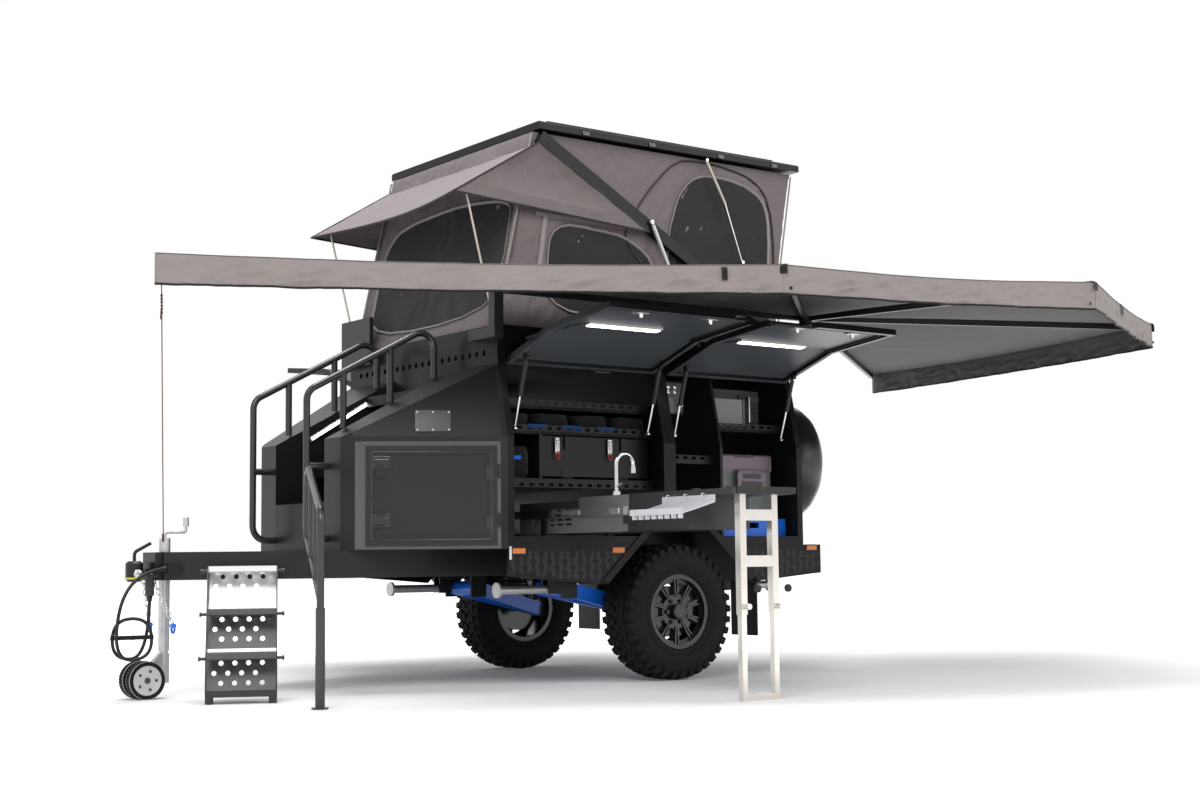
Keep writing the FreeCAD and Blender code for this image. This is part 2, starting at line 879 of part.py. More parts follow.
def side_frame():
    """Right side of the body: sill, posts, eave and wheel arch rim around two hatch openings."""
    skin = prism_x(band(side_line(0), frame_t), body_front_x, body_rear_x)
    openings = []
    for x0, x1 in ((body_front_x + post_w, mid_post_x0), (mid_post_x1, body_rear_x - post_w)):
        openings.append(block(x0, x1, 0, body_half_w + overrun, sill_top_z, eave_z))
    arch = prism_y(arch_outline(0), inner_y - overrun, body_half_w + overrun)
    rim_shape = prism_y(band(arch_line, arch_rim_w), inner_y, body_half_w + arch_rim_proud)
    return fused([cut_all(skin, openings + [arch]), rim_shape])


def side_skirts():
    """Lower side panels on the right, before and behind the wheel."""
    arch = prism_y(arch_outline(arch_rim_w), inner_y, body_half_w + overrun)
    outer, inner = body_half_w, body_half_w - skirt_t
    front = prism_y([(body_front_x, body_low_z), (body_front_x, skirt_front_z),
                     (-arch_low_half, skirt_wheel_z),
                     (0, skirt_wheel_z), (0, body_low_z)], inner, outer)
    rear = prism_y([(0, body_low_z), (0, skirt_wheel_z), (arch_low_half, skirt_wheel_z),
                    (skirt_rear_x, skirt_rear_z), (skirt_rear_x, bumper_top_z), (body_rear_x, bumper_top_z),
                    (body_rear_x, body_low_z)], inner, outer)
    return [front.cut(arch), rear.cut(arch)]


def arch_liner():
    """Right wheel box: the bent liner over the tyre and the wall that closes it inside the body."""
    shell = prism_y(band(arch_line, liner_t), liner_in_y, inner_y)
    slope = (arch_low_half - arch_top_half) / (arch_top_z - arch_low_z)
    half = arch_top_half + (arch_top_z - body_low_z) * slope
    wall = prism_y([(-half, body_low_z), (half, body_low_z), (arch_top_half, arch_top_z),
                    (-arch_top_half, arch_top_z)],
                   liner_in_y - liner_t, liner_in_y)
    lip = prism_y(band(arch_line, liner_t), liner_in_y - liner_t, liner_in_y)
    above = block(-arch_low_half, arch_low_half, liner_in_y - liner_t * 2, liner_in_y, body_low_z,
                  arch_top_z + overrun)
    return fused([shell, wall, lip.common(above)])


def body_floor():
    """Floor between the sides, cut out for the two wheel boxes."""
    floor = block(body_front_x, body_rear_x, -inner_y, inner_y, body_low_z, floor_z)
    cuts = []
    for side in (1, -1):
        cuts.append(prism_y(arch_outline(liner_t), side * (liner_in_y - liner_t), side * (inner_y + overrun)))
    return cut_all(floor, cuts)


def body_front_wall():
    """Front wall between the sides, with the row of holes along its top rail."""
    wall = body_slice(body_front_x, body_front_x + wall_t, floor_z, body_top_z, frame_t)
    holes = []
    hole_z = (eave_z + body_top_z) / 2
    reach = eave_half_w - frame_t - rack_hole_margin
    count = int(reach * 2 // rack_hole_pitch)
    for index in range(count + 1):
        y = (index - count / 2) * rack_hole_pitch
        start = vec(body_front_x - overrun, y, hole_z)
        holes.append(rod(start, start + vec(wall_t + overrun * 2, 0, 0), rack_hole_r))
    return cut_all(wall, holes)


def body_rear_wall():
    return body_slice(body_rear_x - wall_t, body_rear_x, floor_z, body_top_z, frame_t)


def body_roof():
    half = eave_half_w - frame_t
    return block(body_front_x + wall_t, body_rear_x - wall_t, -half, half, body_top_z - roof_t, body_top_z)


def divider(x):
    """Full-width bulkhead whose edges lean with the body, notched over the wheel boxes."""
    board = body_slice(x, x + divider_t, floor_z, body_top_z - roof_t, frame_t)
    cuts = [prism_y(arch_outline(liner_t + running_gap), side * (liner_in_y - liner_t - running_gap),
                    side * body_half_w)
            for side in (1, -1)]
    return cut_all(board, cuts)


def shelf(x0, x1, z, lip_up=True):
    """Full-width shelf with a punched lip, turned up or down, along both open sides."""
    board = body_slice(x0, x1, z, z + shelf_t, shelf_inset)
    edge = side_y(z + shelf_t, shelf_inset)
    low = z + shelf_t if lip_up else z - shelf_lip_h
    lips = []
    for side in (1, -1):
        lips.append(block(x0, x1, side * (edge - shelf_lip_t), side * edge, min(low, z),
                          max(low + shelf_lip_h, z + shelf_t)))
    slots = []
    pitch = shelf_lip_h * 2
    for index in range(1, int((x1 - x0) // pitch)):
        at = x0 + pitch * index
        slots.append(block(at - pitch / 4, at + pitch / 4, -body_half_w, body_half_w,
                           low + shelf_lip_h / 4, low + shelf_lip_h * 3 / 4))
    return cut_all(fused([board] + lips), slots)


def front_shelves():
    """Shelves, cube wall and back boards in the front bay."""
    x0, x1 = body_front_x + wall_t, front_divider_x
    boards = [shelf(x0, x1, shelf_low_z, False), shelf(x0, x1, shelf_mid_z), shelf(x0, x1, shelf_top_z)]
    walls = []
    for side in (1, -1):
        edge = side * (side_y(shelf_mid_z, shelf_inset) - shelf_lip_t)
        walls.append(block(cube_x, cube_x + shelf_t, edge, 0, shelf_low_z + shelf_t, shelf_mid_z))
    back = block(x0, x1, -shelf_t / 2, shelf_t / 2, shelf_low_z + shelf_t, shelf_mid_z)
    mid = block(x0, x1, -shelf_t / 2, shelf_t / 2, shelf_mid_z + shelf_t, shelf_top_z)
    return fused(boards + walls + [back, mid])


def rear_shelves():
    """Shelf of the control bay and shelf under the oven."""
    control = shelf(front_divider_x + divider_t, divider_x, panel_shelf_z)
    oven = shelf(divider_x + divider_t, body_rear_x - wall_t, oven_shelf_z)
    return [control, oven]


def locker_solid(inset):
    """Right nose locker's outer form, or its hollow when set in by the wall."""
    plan = [(body_front_x, nose_in_y), (nose_x, nose_in_y), (nose_x, nose_front_y),
            (nose_chamfer_x, nose_chamfer_y),
            (nose_side_x, body_half_w), (body_front_x, body_half_w)]
    closed = plan + plan[:2]
    shrunk = offset_line(closed, -inset)[1:-1]
    side = prism_z(shrunk, rail_top_z + inset, nose_top_rear_z * 2)
    slope = (nose_top_rear_z - nose_top_front_z) / (body_front_x - nose_x)
    drop = inset * math.hypot(1, slope)
    far = nose_x - overrun
    roof = prism_y([(far, 0), (far, nose_top_front_z - drop - slope * overrun),
                    (body_front_x, nose_top_rear_z - drop), (body_front_x, 0)], 0, body_half_w + overrun)
    ahead = vec(nose_side_x - nose_chamfer_x, body_half_w - nose_chamfer_y, 0)
    ahead = ahead.normalize()
    out = vec(-ahead.y, ahead.x, 0)
    start = vec(nose_side_x, body_half_w, 0) - ahead * body_half_w * 2 - out * inset
    high = nose_top_rear_z * 2
    outline = [(0, 0), (0, crease_z), (-(high - crease_z) * lean, high), (-body_half_w * 2, high),
               (-body_half_w * 2, 0)]
    keep = face_of([start + out * n + vec(0, 0, z) for n, z in outline]).extrude(ahead * body_half_w * 4)
    eave = prism_x([(0, 0), (body_half_w - inset, 0), (body_half_w - inset, crease_z),
                    (body_half_w - inset - (high - crease_z) * lean, high), (0, high)],
                   nose_x - overrun, body_front_x + overrun)
    return side.common(roof).common(keep).common(eave)


def locker_frame():
    """Hinge corner of the right locker's door, the way along the panel and the way out of it."""
    rear = vec(nose_side_x, body_half_w, 0)
    front = vec(nose_chamfer_x, nose_chamfer_y, 0)
    way = front - rear
    out = vec(way.y, -way.x, 0)
    return rear, way, out.normalize()


def door_slab(grow, out0, out1):
    """Upright slab along the locker's side panel over the door's opening, grown on all sides."""
    rear, way, out = locker_frame()
    along = vec(way.x, way.y, 0).normalize()
    first = rear + way * (1 - door_rear_share) - along * grow
    last = rear + way * (1 - door_front_share) + along * grow
    points = [first + out * out0, last + out * out0, last + out * out1, first + out * out1]
    base = [p + vec(0, 0, door_low_z - grow) for p in points]
    return face_of(base).extrude(vec(0, 0, door_top_z - door_low_z + grow * 2))


def nose_locker():
    """Right nose locker: a hollow box with a slanted lid line and a door opening in its side."""
    shell = locker_solid(0).cut(locker_solid(locker_t))
    return shell.cut(door_slab(door_gap, -locker_t - overrun, overrun))


def locker_door():
    """Right locker's door: slab in the opening, raised lip over its edge, two latches and hinge barrels."""
    rear, way, out = locker_frame()
    along = vec(way.x, way.y, 0).normalize()
    slab = door_slab(0, -locker_t, seat_gap)
    lip = door_slab(door_lip, seat_gap, door_lip_t)
    panel = door_slab(-door_lip * 2, door_lip_t / 2, door_lip_t + overrun)
    hinge = locker_hinge()
    parts = [slab, lip.cut(panel)]
    span = door_top_z - door_low_z
    for share in latch_height_shares:
        low = door_low_z + span * share - latch_h / 2
        barrel = rod(hinge + vec(0, 0, low), hinge + vec(0, 0, low + latch_h), door_hinge_r)
        half = out * (door_hinge_r / 2)
        far = hinge + along * (door_hinge_r + door_lip * 2)
        leaf_points = [hinge - half, far - half, far + half, hinge + half]
        leaf = face_of([p + vec(0, 0, low) for p in leaf_points]).extrude(vec(0, 0, latch_h))
        parts += [barrel, leaf]
        mid = rear + way * (1 - door_front_share) - along * latch_w
        low_out, high_out = out * (door_lip_t / 2), out * (door_lip_t / 2 + latch_t)
        latch_points = [mid + low_out, mid - along * latch_w + low_out, mid - along * latch_w + high_out,
                        mid + high_out]
        parts.append(face_of([p + vec(0, 0, low) for p in latch_points]).extrude(vec(0, 0, latch_h)))
    return fused(parts)


def locker_hinge():
    """Axis point of the right locker's door."""
    rear, way, out = locker_frame()
    along = vec(way.x, way.y, 0).normalize()
    corner = rear + way * (1 - door_rear_share)
    return corner - along * (door_lip + door_hinge_r) + out * (door_hinge_r + seat_gap)


def nose_stairs():
    """Steps between the nose lockers: side plates, punched treads and the lowest step's front plate."""
    run = (body_front_x - nose_x) / stair_count
    rise = (stair_last_z - stair_first_z) / (stair_count - 1)
    half = nose_in_y - seat_gap
    pieces = []
    for index in range(stair_count):
        x = nose_x + run * index
        top = stair_first_z + rise * index
        tread = block(x, x + run, -half, half, top - stair_t, top)
        lip = block(x, x + stair_face_t, -half, half, top - stair_lip, top)
        holes = []
        for place in range(stair_hole_count):
            y = half * 2 * ((place + 0.5) / stair_hole_count - 0.5)
            start = vec(x + run / 2, y, top - stair_t - overrun)
            holes.append(rod(start, start + vec(0, 0, stair_t + overrun * 2), stair_hole_r))
        pieces += [cut_all(tread, holes), lip]
    front = block(nose_x, nose_x + stair_face_t, -half, half, rail_top_z, stair_first_z)
    for side in (1, -1):
        line = [(nose_x, rail_top_z), (body_front_x, rail_top_z), (body_front_x, stair_last_z)]
        line += [(nose_x + run, stair_first_z), (nose_x, stair_first_z)]
        pieces.append(prism_y(line, side * (half - stair_side_t), side * half))
    return fused(pieces + [front])


def locker_top_z(x):
    """Height of the nose lockers' slanted top at a place along the nose."""
    return nose_top_front_z + (nose_top_rear_z - nose_top_front_z) * (x - nose_x) / (body_front_x - nose_x)


def handrail():
    """Right stair rail: one bent tube with its posts down to the locker's top and a stub to its front."""
    reach = math.hypot(hand_top_x - hand_front_x, hand_top_z - hand_turn_z)
    start = vec(hand_front_x, hand_y, hand_low_z)
    knee = vec(hand_front_x, hand_y, hand_turn_z)
    top = vec(hand_top_x, hand_y, hand_top_z)
    foot_z = locker_top_z(hand_top_x + rail_tube_r) + seat_gap
    main = bent_bar([vec(nose_x - seat_gap, hand_y, hand_low_z), start, knee, top,
                     vec(hand_top_x, hand_y, foot_z)],
                    rail_tube_r, rail_bend_r)
    pieces = [main]
    for x in hand_post_x:
        z = knee.z + (top.z - knee.z) * (x - knee.x) / (top.x - knee.x)
        pieces.append(rod(vec(x, hand_y, locker_top_z(x + rail_tube_r) + seat_gap), vec(x, hand_y, z),
                          rail_tube_r))
    pieces.append(rod(start + vec(0, 0, stub_z - hand_low_z), vec(nose_x - seat_gap, hand_y, stub_z),
                      rail_tube_r))
    return fused(pieces)


def side_rail():
    """Left rail beside the folding steps: a bent frame with bars, standing on one telescopic leg."""
    inner_top = vec(hand_front_x, -hand_y, side_rail_in_z)
    outer_top = vec(side_rail_out_x, side_rail_out_y, side_rail_out_z)
    flat = vec(outer_top.x - inner_top.x, outer_top.y - inner_top.y, 0)
    away = flat * (1 / flat.Length)
    inner_top = inner_top + away * (rail_tube_r * 2 + side_rail_in_gap)
    inner_low = vec(inner_top.x, inner_top.y, side_rail_in_low_z)
    outer_low = vec(outer_top.x, outer_top.y, side_rail_out_low_z)
    ground = vec(outer_top.x, outer_top.y, foot_disc_h)
    main = bent_bar([inner_low, inner_top, outer_top, ground], rail_tube_r, rail_bend_r)
    brace = rod(inner_low, outer_low, rail_tube_r * 0.8)
    pieces = [main, brace]
    for share in side_rail_bar_shares:
        low = inner_low + (outer_low - inner_low) * share
        high = inner_top + (outer_top - inner_top) * share
        pieces.append(rod(low, high, rail_tube_r * 0.8))
    sleeve_low = vec(ground.x, ground.y, foot_disc_h)
    pieces.append(rod(sleeve_low, vec(ground.x, ground.y, side_rail_sleeve_top_z), side_rail_sleeve_r))
    pieces.append(rod(vec(ground.x, ground.y, 0), sleeve_low, foot_disc_r))
    return fused(pieces)


def step_frame_vectors():
    """Place on the left rail's outer face where the steps hang, the way out and the way along."""
    tip = vec(draw_tip_x, -draw_tip_y, 0)
    rear = vec(draw_rear_x, -rail_y, 0)
    along = (rear - tip).normalize()
    out = vec(along.y, -along.x, 0)
    out = out if out.y < 0 else out * -1
    start = tip + (rear - tip) * step_at_share + out * (rail_w / 2)
    return start, along, out


def local_block(start, along, out, a0, a1, b0, b1, z0, z1):
    """Box along two level directions from a start point."""
    points = [start + along * a0 + out * b0, start + along * a1 + out * b0,
              start + along * a1 + out * b1, start + along * a0 + out * b1]
    return face_of([vec(p.x, p.y, z0) for p in points]).extrude(vec(0, 0, z1 - z0))


def folding_steps():
    """Three punched treads with risers between side bars, on two rubber feet."""
    start, along, out = step_frame_vectors()
    pieces = []
    for index in range(step_count):
        near = step_off_rail + step_run * index
        top = step_top_z - step_rise * index
        tread = local_block(start, along, out, 0, step_w, near, near + step_depth, top - step_t, top)
        lip = local_block(start, along, out, 0, step_w, near + step_depth - step_t, near + step_depth,
                          top - step_lip, top)
        holes = []
        for column in range(step_hole_cols):
            for row in (1, 2):
                aside = step_w * (column + row / 2) / (step_hole_cols + 0.5)
                at = start + along * aside + out * (near + step_depth * row / 3)
                holes.append(rod(vec(at.x, at.y, top - step_t * 2), vec(at.x, at.y, top + step_t),
                                 step_hole_r))
        pieces += [cut_all(tread, holes), lip]
        riser_top = top - step_t
        riser_low = top - step_rise + step_riser_gap
        base = start + out * (near + step_t)
        corners = [vec(base.x, base.y, riser_top), vec(base.x, base.y, riser_low) + out * step_riser_lean,
                   vec(base.x, base.y, riser_low) + out * (step_riser_lean + step_t),
                   vec(base.x, base.y, riser_top) + out * step_t]
        riser = face_of(corners).extrude(along * step_w)
        punches = []
        for column in range(step_hole_cols):
            for row in (1, 2, 3):
                share = row / 4
                aside = step_w * (column + (row % 2) / 2 + 0.5) / (step_hole_cols + 1)
                at = base + along * aside + out * (step_riser_lean * share)
                height = riser_top + (riser_low - riser_top) * share
                centre = vec(at.x, at.y, height)
                punches.append(rod(centre - out * step_lip, centre + out * step_lip, step_hole_r))
        pieces.append(cut_all(riser, punches))
    ends = []
    last = step_count - 1
    for a in (-step_side_t, step_w):
        far_top = step_off_rail + step_depth
        far_low = step_off_rail + step_run * last + step_depth
        low = step_foot_h
        line = [(0, step_top_z - step_lip * 2), (0, step_top_z), (far_top, step_top_z),
                (far_low, step_top_z - step_rise * last),
                (far_low, low), (far_low - step_side_w, low), (far_low - step_side_w,
                                                               step_top_z - step_rise * last - step_lip),
                (far_top - step_side_w, step_top_z - step_lip), (step_off_rail + step_side_w,
                                                                 step_top_z - step_lip * 2)]
        points = [start + along * a + out * (seat_gap + b) + vec(0, 0, z) for b, z in line]
        ends.append(face_of(points).extrude(along * step_side_t))
        back = [(step_off_rail, step_top_z - step_lip), (step_off_rail + step_side_w, step_top_z - step_lip),
                (step_off_rail + step_run * last + step_riser_lean + step_side_w, low),
                (step_off_rail + step_run * last + step_riser_lean, low)]
        points = [start + along * a + out * b + vec(0, 0, z) for b, z in back]
        ends.append(face_of(points).extrude(along * step_side_t))
    rods = []
    for index in range(step_count):
        near = step_off_rail + step_run * index + step_depth - step_rod_r * 2
        z = step_top_z - step_rise * index - step_lip
        here = start + out * near + vec(0, 0, z)
        reach = step_side_t + step_knob_r * 2
        rods.append(rod(here - along * reach, here + along * (step_w + reach), step_rod_r))
        for a in (-reach - step_knob_r, step_w + reach):
            rods.append(rod(here + along * a, here + along * (a + step_knob_r), step_knob_r))
    feet = []
    front = step_off_rail + step_run * last + step_depth - step_foot_r
    for a in (step_foot_r - step_side_t, step_w - step_foot_r + step_side_t):
        at = start + along * a + out * front
        feet.append(rod(vec(at.x, at.y, 0), vec(at.x, at.y, step_foot_h + step_side_w / 2), step_foot_r))
    cross = local_block(start, along, out, -step_side_t, step_w + step_side_t,
                        step_off_rail + step_run * last + step_riser_lean, front + step_foot_r,
                        step_foot_h, step_foot_h + step_side_w)
    return fused(pieces + ends + rods), fused(feet), cross


def jockey_post():
    """Jockey stand's outer tube in its clamp between the drawbar rails, with cap and crank."""
    tube = ring(vec(jockey_x, 0, jockey_tube_low_z), vec(jockey_x, 0, jockey_tube_top_z), jockey_tube_r,
                jockey_inner_r + running_gap)
    collar = ring(vec(jockey_x, 0, rail_low_z + jockey_collar_h),
                  vec(jockey_x, 0, rail_low_z + jockey_collar_h * 2),
                  jockey_collar_r, jockey_tube_r - seat_gap)
    x0, x1 = jockey_x - jockey_collar_h / 2, jockey_x + jockey_collar_h / 2
    y0, y1 = [draw_rail_y(x, -rail_w / 2) - seat_gap for x in (x0, x1)]
    plate = prism_z([(x0, -y0), (x1, -y1), (x1, y1), (x0, y0)], rail_low_z + jockey_collar_h,
                    rail_low_z + jockey_collar_h + pivot_cheek_t)
    plate = plate.cut(rod(vec(jockey_x, 0, 0), vec(jockey_x, 0, jockey_tube_top_z), jockey_tube_r))
    cap = rod(vec(jockey_x, 0, jockey_tube_top_z), vec(jockey_x, 0, jockey_tube_top_z + jockey_knob_r),
              jockey_tube_r)
    spin = jockey_tube_top_z + jockey_knob_r
    crank = bent_bar([vec(jockey_x, 0, spin - jockey_crank_r), vec(jockey_x, 0, spin + jockey_knob_r * 2),
                      vec(jockey_x + jockey_crank_len, 0, spin + jockey_knob_r * 2),
                      vec(jockey_x + jockey_crank_len, 0, spin + jockey_knob_r * 5)],
                     jockey_crank_r, jockey_crank_r * 2)
    knob = rod(vec(jockey_x + jockey_crank_len, 0, spin + jockey_knob_r * 4),
               vec(jockey_x + jockey_crank_len, 0, spin + jockey_knob_r * 7), jockey_knob_r)
    return fused([tube, collar, plate, cap, crank, knob])


def jockey_fork():
    """Inner tube with the fork plates that trail the twin wheels on their axle."""
    inner = rod(vec(jockey_x, 0, jockey_wheel_r + jockey_fork_t),
                vec(jockey_x, 0, rail_top_z - jockey_collar_h), jockey_inner_r)
    half = jockey_wheel_gap / 2 - running_gap
    axle_x = jockey_x - jockey_trail
    top = jockey_tube_low_z - jockey_fork_t
    line = [(axle_x, jockey_wheel_r - jockey_axle_r * 2), (jockey_x + jockey_inner_r,
                                                           jockey_wheel_r - jockey_axle_r * 2),
            (jockey_x + jockey_inner_r, top), (jockey_x - jockey_inner_r, top),
            (axle_x - jockey_axle_r * 2, jockey_wheel_r + jockey_axle_r)]
    web = prism_y(line, -half, half)
    reach = jockey_wheel_gap / 2 + jockey_wheel_w
    axle = rod(vec(axle_x, -reach, jockey_wheel_r), vec(axle_x, reach, jockey_wheel_r), jockey_axle_r)
    return fused([inner, web, axle])


def jockey_wheels():
    """Twin jockey wheels: white discs with rubber treads."""
    axle_x = jockey_x - jockey_trail
    discs, treads = [], []
    for side in (1, -1):
        near = side * jockey_wheel_gap / 2
        far = side * (jockey_wheel_gap / 2 + jockey_wheel_w)
        a, b = vec(axle_x, near, jockey_wheel_r), vec(axle_x, far, jockey_wheel_r)
        discs.append(ring(a, b, jockey_wheel_r - jockey_tread_t, jockey_axle_r + running_gap / 10))
        treads.append(ring(a, b, jockey_wheel_r, jockey_wheel_r - jockey_tread_t))
    return discs, treads


def hatch(x0, x1):
    """Closed side hatch on the right: bent skin with a rim, hinge barrel and strut brackets."""
    low = sill_top_z + hatch_low_gap
    line = [(body_half_w, low), (body_half_w, crease_z), (eave_half_w, eave_z)]
    outer = offset_line(line, -hatch_proud)
    lean_back = (outer[2][0] - outer[1][0]) / (outer[2][1] - outer[1][1])
    top_z = eave_z - hatch_top_gap
    outer[2] = (outer[1][0] + lean_back * (top_z - outer[1][1]), top_z)
    inner = offset_line(outer, hatch_t)
    inner[2] = (outer[2][0] - hatch_t, top_z)
    shell = prism_x(outer + inner[::-1], x0, x1)
    hollow_outer = offset_line(outer, hatch_rim_t)
    hollow = offset_line(outer, hatch_t + overrun)
    pocket = prism_x([(hollow_outer[0][0], low + hatch_rim_w), hollow_outer[1],
                      (hollow_outer[2][0] + lean_back * -hatch_rim_w, top_z - hatch_rim_w),
                      (hollow[2][0], top_z - hatch_rim_w), hollow[1], (hollow[0][0], low + hatch_rim_w)],
                     x0 + hatch_rim_w, x1 - hatch_rim_w)
    shell = shell.cut(pocket)
    clear = prism_y(arch_outline(arch_rim_w + hatch_low_gap), inner_y - overrun * 2, body_half_w + overrun)
    shell = shell.cut(clear)
    axis_y = eave_half_w + hinge_off
    barrel = rod(vec(x0, axis_y, eave_z), vec(x1, axis_y, eave_z), hinge_r)
    return fused([shell, barrel])


def hatch_axis():
    return vec(0, eave_half_w + hinge_off, eave_z)


def opened(shape):
    """A closed right hatch's piece swung up to where it is propped."""
    return turned(shape, hatch_axis(), vec(1, 0, 0), hatch_open_deg)


def strut_anchor():
    """Closed place of the strut's upper eye, seen from the hatch's hinge."""
    slant = math.hypot(1, lean)
    down = vec(0, lean / slant, -1 / slant)
    inward = vec(0, -1 / slant, -lean / slant)
    return hatch_axis() + down * strut_reach + inward * strut_inset


def strut_places(x0, x1):
    return (x0 + strut_side, 1), (x1 - strut_side, -1)


def hatch_brackets(x0, x1):
    """Ears on the closed right hatch, one beside each strut's upper eye."""
    eye = strut_anchor()
    ears = []
    for x, side in strut_places(x0, x1):
        near = x - side * (strut_eye_t / 2 + seat_gap)
        far = near - side * strut_bracket_t
        line = [(eye.y - strut_eye_r, eye.z - strut_eye_r), (eye.y + strut_inset, eye.z - strut_eye_r),
                (eye.y + strut_inset, eye.z + strut_eye_r), (eye.y - strut_eye_r, eye.z + strut_eye_r)]
        ears.append(prism_x(line, near, far))
    return ears


def strut_parts(x0, x1):
    """Open struts of a right hatch: tubes with their upper eyes, and rods with their lower ends."""
    top = turned(Part.Vertex(strut_anchor()), hatch_axis(), vec(1, 0, 0), hatch_open_deg).Point
    foot = vec(0, strut_foot_y, strut_foot_z)
    tubes, rods = [], []
    for x, side in strut_places(x0, x1):
        a, b = vec(x, top.y, top.z), vec(x, foot.y, foot.z)
        way = (b - a).normalize()
        length = (b - a).Length
        split = a + way * length * strut_tube_share
        half = vec(strut_eye_t / 2, 0, 0)
        neck = rod(a, a + way * strut_eye_r * 2, strut_neck_r)
        tube = rod(a + way * strut_eye_r * strut_neck_share, split, strut_tube_r)
        bore = rod(a + way * strut_eye_r * 2, split + way * overrun, strut_rod_r + running_gap)
        tubes.append(fused([tube, neck, rod(a - half, a + half, strut_eye_r)]).cut(bore))
        rods.append(fused([rod(split - way * strut_hold, b, strut_rod_r),
                           rod(b - half, b + half, strut_eye_r)]))
    return tubes, rods


def strut_studs(x0, x1, back0, back1):
    """Blocks inside the right frame's posts, each with a stud beside a strut's lower end."""
    studs = []
    inner = side_y(strut_foot_z + strut_eye_r, frame_t)
    for (x, side), back in zip(strut_places(x0, x1), (back0, back1)):
        near = x - side * (strut_eye_t / 2 + seat_gap)
        post = x0 - door_gap if side > 0 else x1 + door_gap
        foot = block(back, post, strut_foot_y - strut_eye_r, inner + frame_t / 2,
                     strut_foot_z - strut_eye_r, strut_foot_z + strut_eye_r)
        stud = rod(vec(near, strut_foot_y, strut_foot_z), vec(post, strut_foot_y, strut_foot_z), strut_rod_r)
        studs.append(fused([foot, stud]))
    return studs


def cabinet_door():
    """Drop-down door of the left cabinet, with its hinge barrels and two toggle latches."""
    x0 = cube_x + shelf_t + door_gap
    x1 = mid_post_x0 - door_gap
    low = shelf_low_z + shelf_t + cabinet_hinge_r * 2
    top = shelf_mid_z - door_gap
    face = -cabinet_face_y()
    panel = block(x0, x1, face, face + cabinet_door_t, low, top)
    parts = [panel]
    barrel_z = low - cabinet_hinge_r
    for share in latch_height_shares:
        x = x0 + (x1 - x0) * share
        parts.append(rod(vec(x - latch_h / 2, face, barrel_z), vec(x + latch_h / 2, face, barrel_z),
                         cabinet_hinge_r - running_gap))
        parts.append(block(x - latch_h / 2, x + latch_h / 2, face - cabinet_hinge_r / 2,
                           face + cabinet_hinge_r / 2,
                           barrel_z, low + latch_w))
        parts.append(block(x - latch_w / 2, x + latch_w / 2, face - latch_t, face, top - latch_h, top))
    return fused(parts)


def cabinet_face_y():
    return side_y(shelf_mid_z, shelf_inset) - cabinet_door_t - latch_t


def storage_bags():
    """Soft bags on the left middle shelf and in the cube, each clear of its shelf."""
    x0, x1 = body_front_x + wall_t + bag_side_gap, front_divider_x - bag_side_gap
    pitch = (x1 - x0 + bag_gap) / bag_count
    outer = -(side_y(shelf_top_z, shelf_inset) - shelf_lip_t - bag_gap)
    base = shelf_mid_z + shelf_t + seat_gap
    bags = []
    for index in range(bag_count):
        bag = block(x0 + pitch * index, x0 + pitch * (index + 1) - bag_gap, outer, outer + bag_depth, base,
                    base + bag_h)
        upright = [edge for edge in bag.Edges if abs(edge.tangentAt(0).z) > bag_edge_share]
        bags.append(bag.makeFillet(bag_round, upright))
    cube_low = shelf_low_z + shelf_t + seat_gap
    cube = block(x0, cube_x - bag_side_gap, outer, outer + bag_depth, cube_low, cube_low + cube_bag_h)
    upright = [edge for edge in cube.Edges if abs(edge.tangentAt(0).z) > bag_edge_share]
    bags.append(cube.makeFillet(bag_round, upright))
    return bags


def oven():
    """Microwave oven on the upper rear shelf: its case, window door and handle bar."""
    x0 = divider_x + divider_t + oven_side_gap
    x1 = x0 + oven_w
    face = -(side_y(oven_shelf_z + oven_h + shelf_t, shelf_inset) - oven_side_gap - oven_door_t)
    low = oven_shelf_z + shelf_t + seat_gap
    case = block(x0, x1, face, face + oven_depth, low + oven_foot, low + oven_foot + oven_h)
    split = x0 + oven_w * oven_door_share
    door = block(x0, split, face - oven_door_t, face, low + oven_foot, low + oven_foot + oven_h)
    window = block(x0 + oven_frame, split - oven_frame * 2, face - oven_door_t - overrun,
                   face - oven_door_t / 2,
                   low + oven_foot + oven_frame, low + oven_foot + oven_h - oven_frame)
    bar = rod(vec(split - oven_frame, face - oven_door_t, low + oven_foot + oven_frame),
              vec(split - oven_frame, face - oven_door_t, low + oven_foot + oven_h - oven_frame), oven_bar_r)
    feet = []
    for x in (x0 + oven_frame, x1 - oven_frame):
        for y in (face + oven_frame, face + oven_depth - oven_frame):
            feet.append(rod(vec(x, y, low), vec(x, y, low + oven_foot), oven_foot))
    knobs = []
    for share in knob_shares:
        z = low + oven_foot + oven_h * share
        x = (split + x1) / 2
        knobs.append(rod(vec(x, face, z), vec(x, face - oven_door_t, z), oven_knob_r))
    return fused([case, door.cut(window), bar] + feet + knobs)


def control_panel():
    """Switch panel of the control bay, on the bulkhead side of the left opening."""
    x0 = mid_post_x1
    top = eave_z - meter_top_gap
    face = -(side_y(top, shelf_inset) - meter_t)
    box = block(front_divider_x + divider_t, x0 + meter_w, face, face + meter_t, top - meter_h, top)
    left, right, high, low = meter_screen_shares
    screen = block(x0 + meter_w * left, x0 + meter_w * right, face - meter_knob_t, face,
                   top - meter_h * low, top - meter_h * high)
    knobs = []
    for share in meter_knob_shares:
        x = x0 + meter_w * share
        knobs.append(rod(vec(x, face, top - meter_h / 2), vec(x, face - meter_knob_t, top - meter_h / 2),
                         meter_knob_r))
    return fused([box, screen] + knobs)


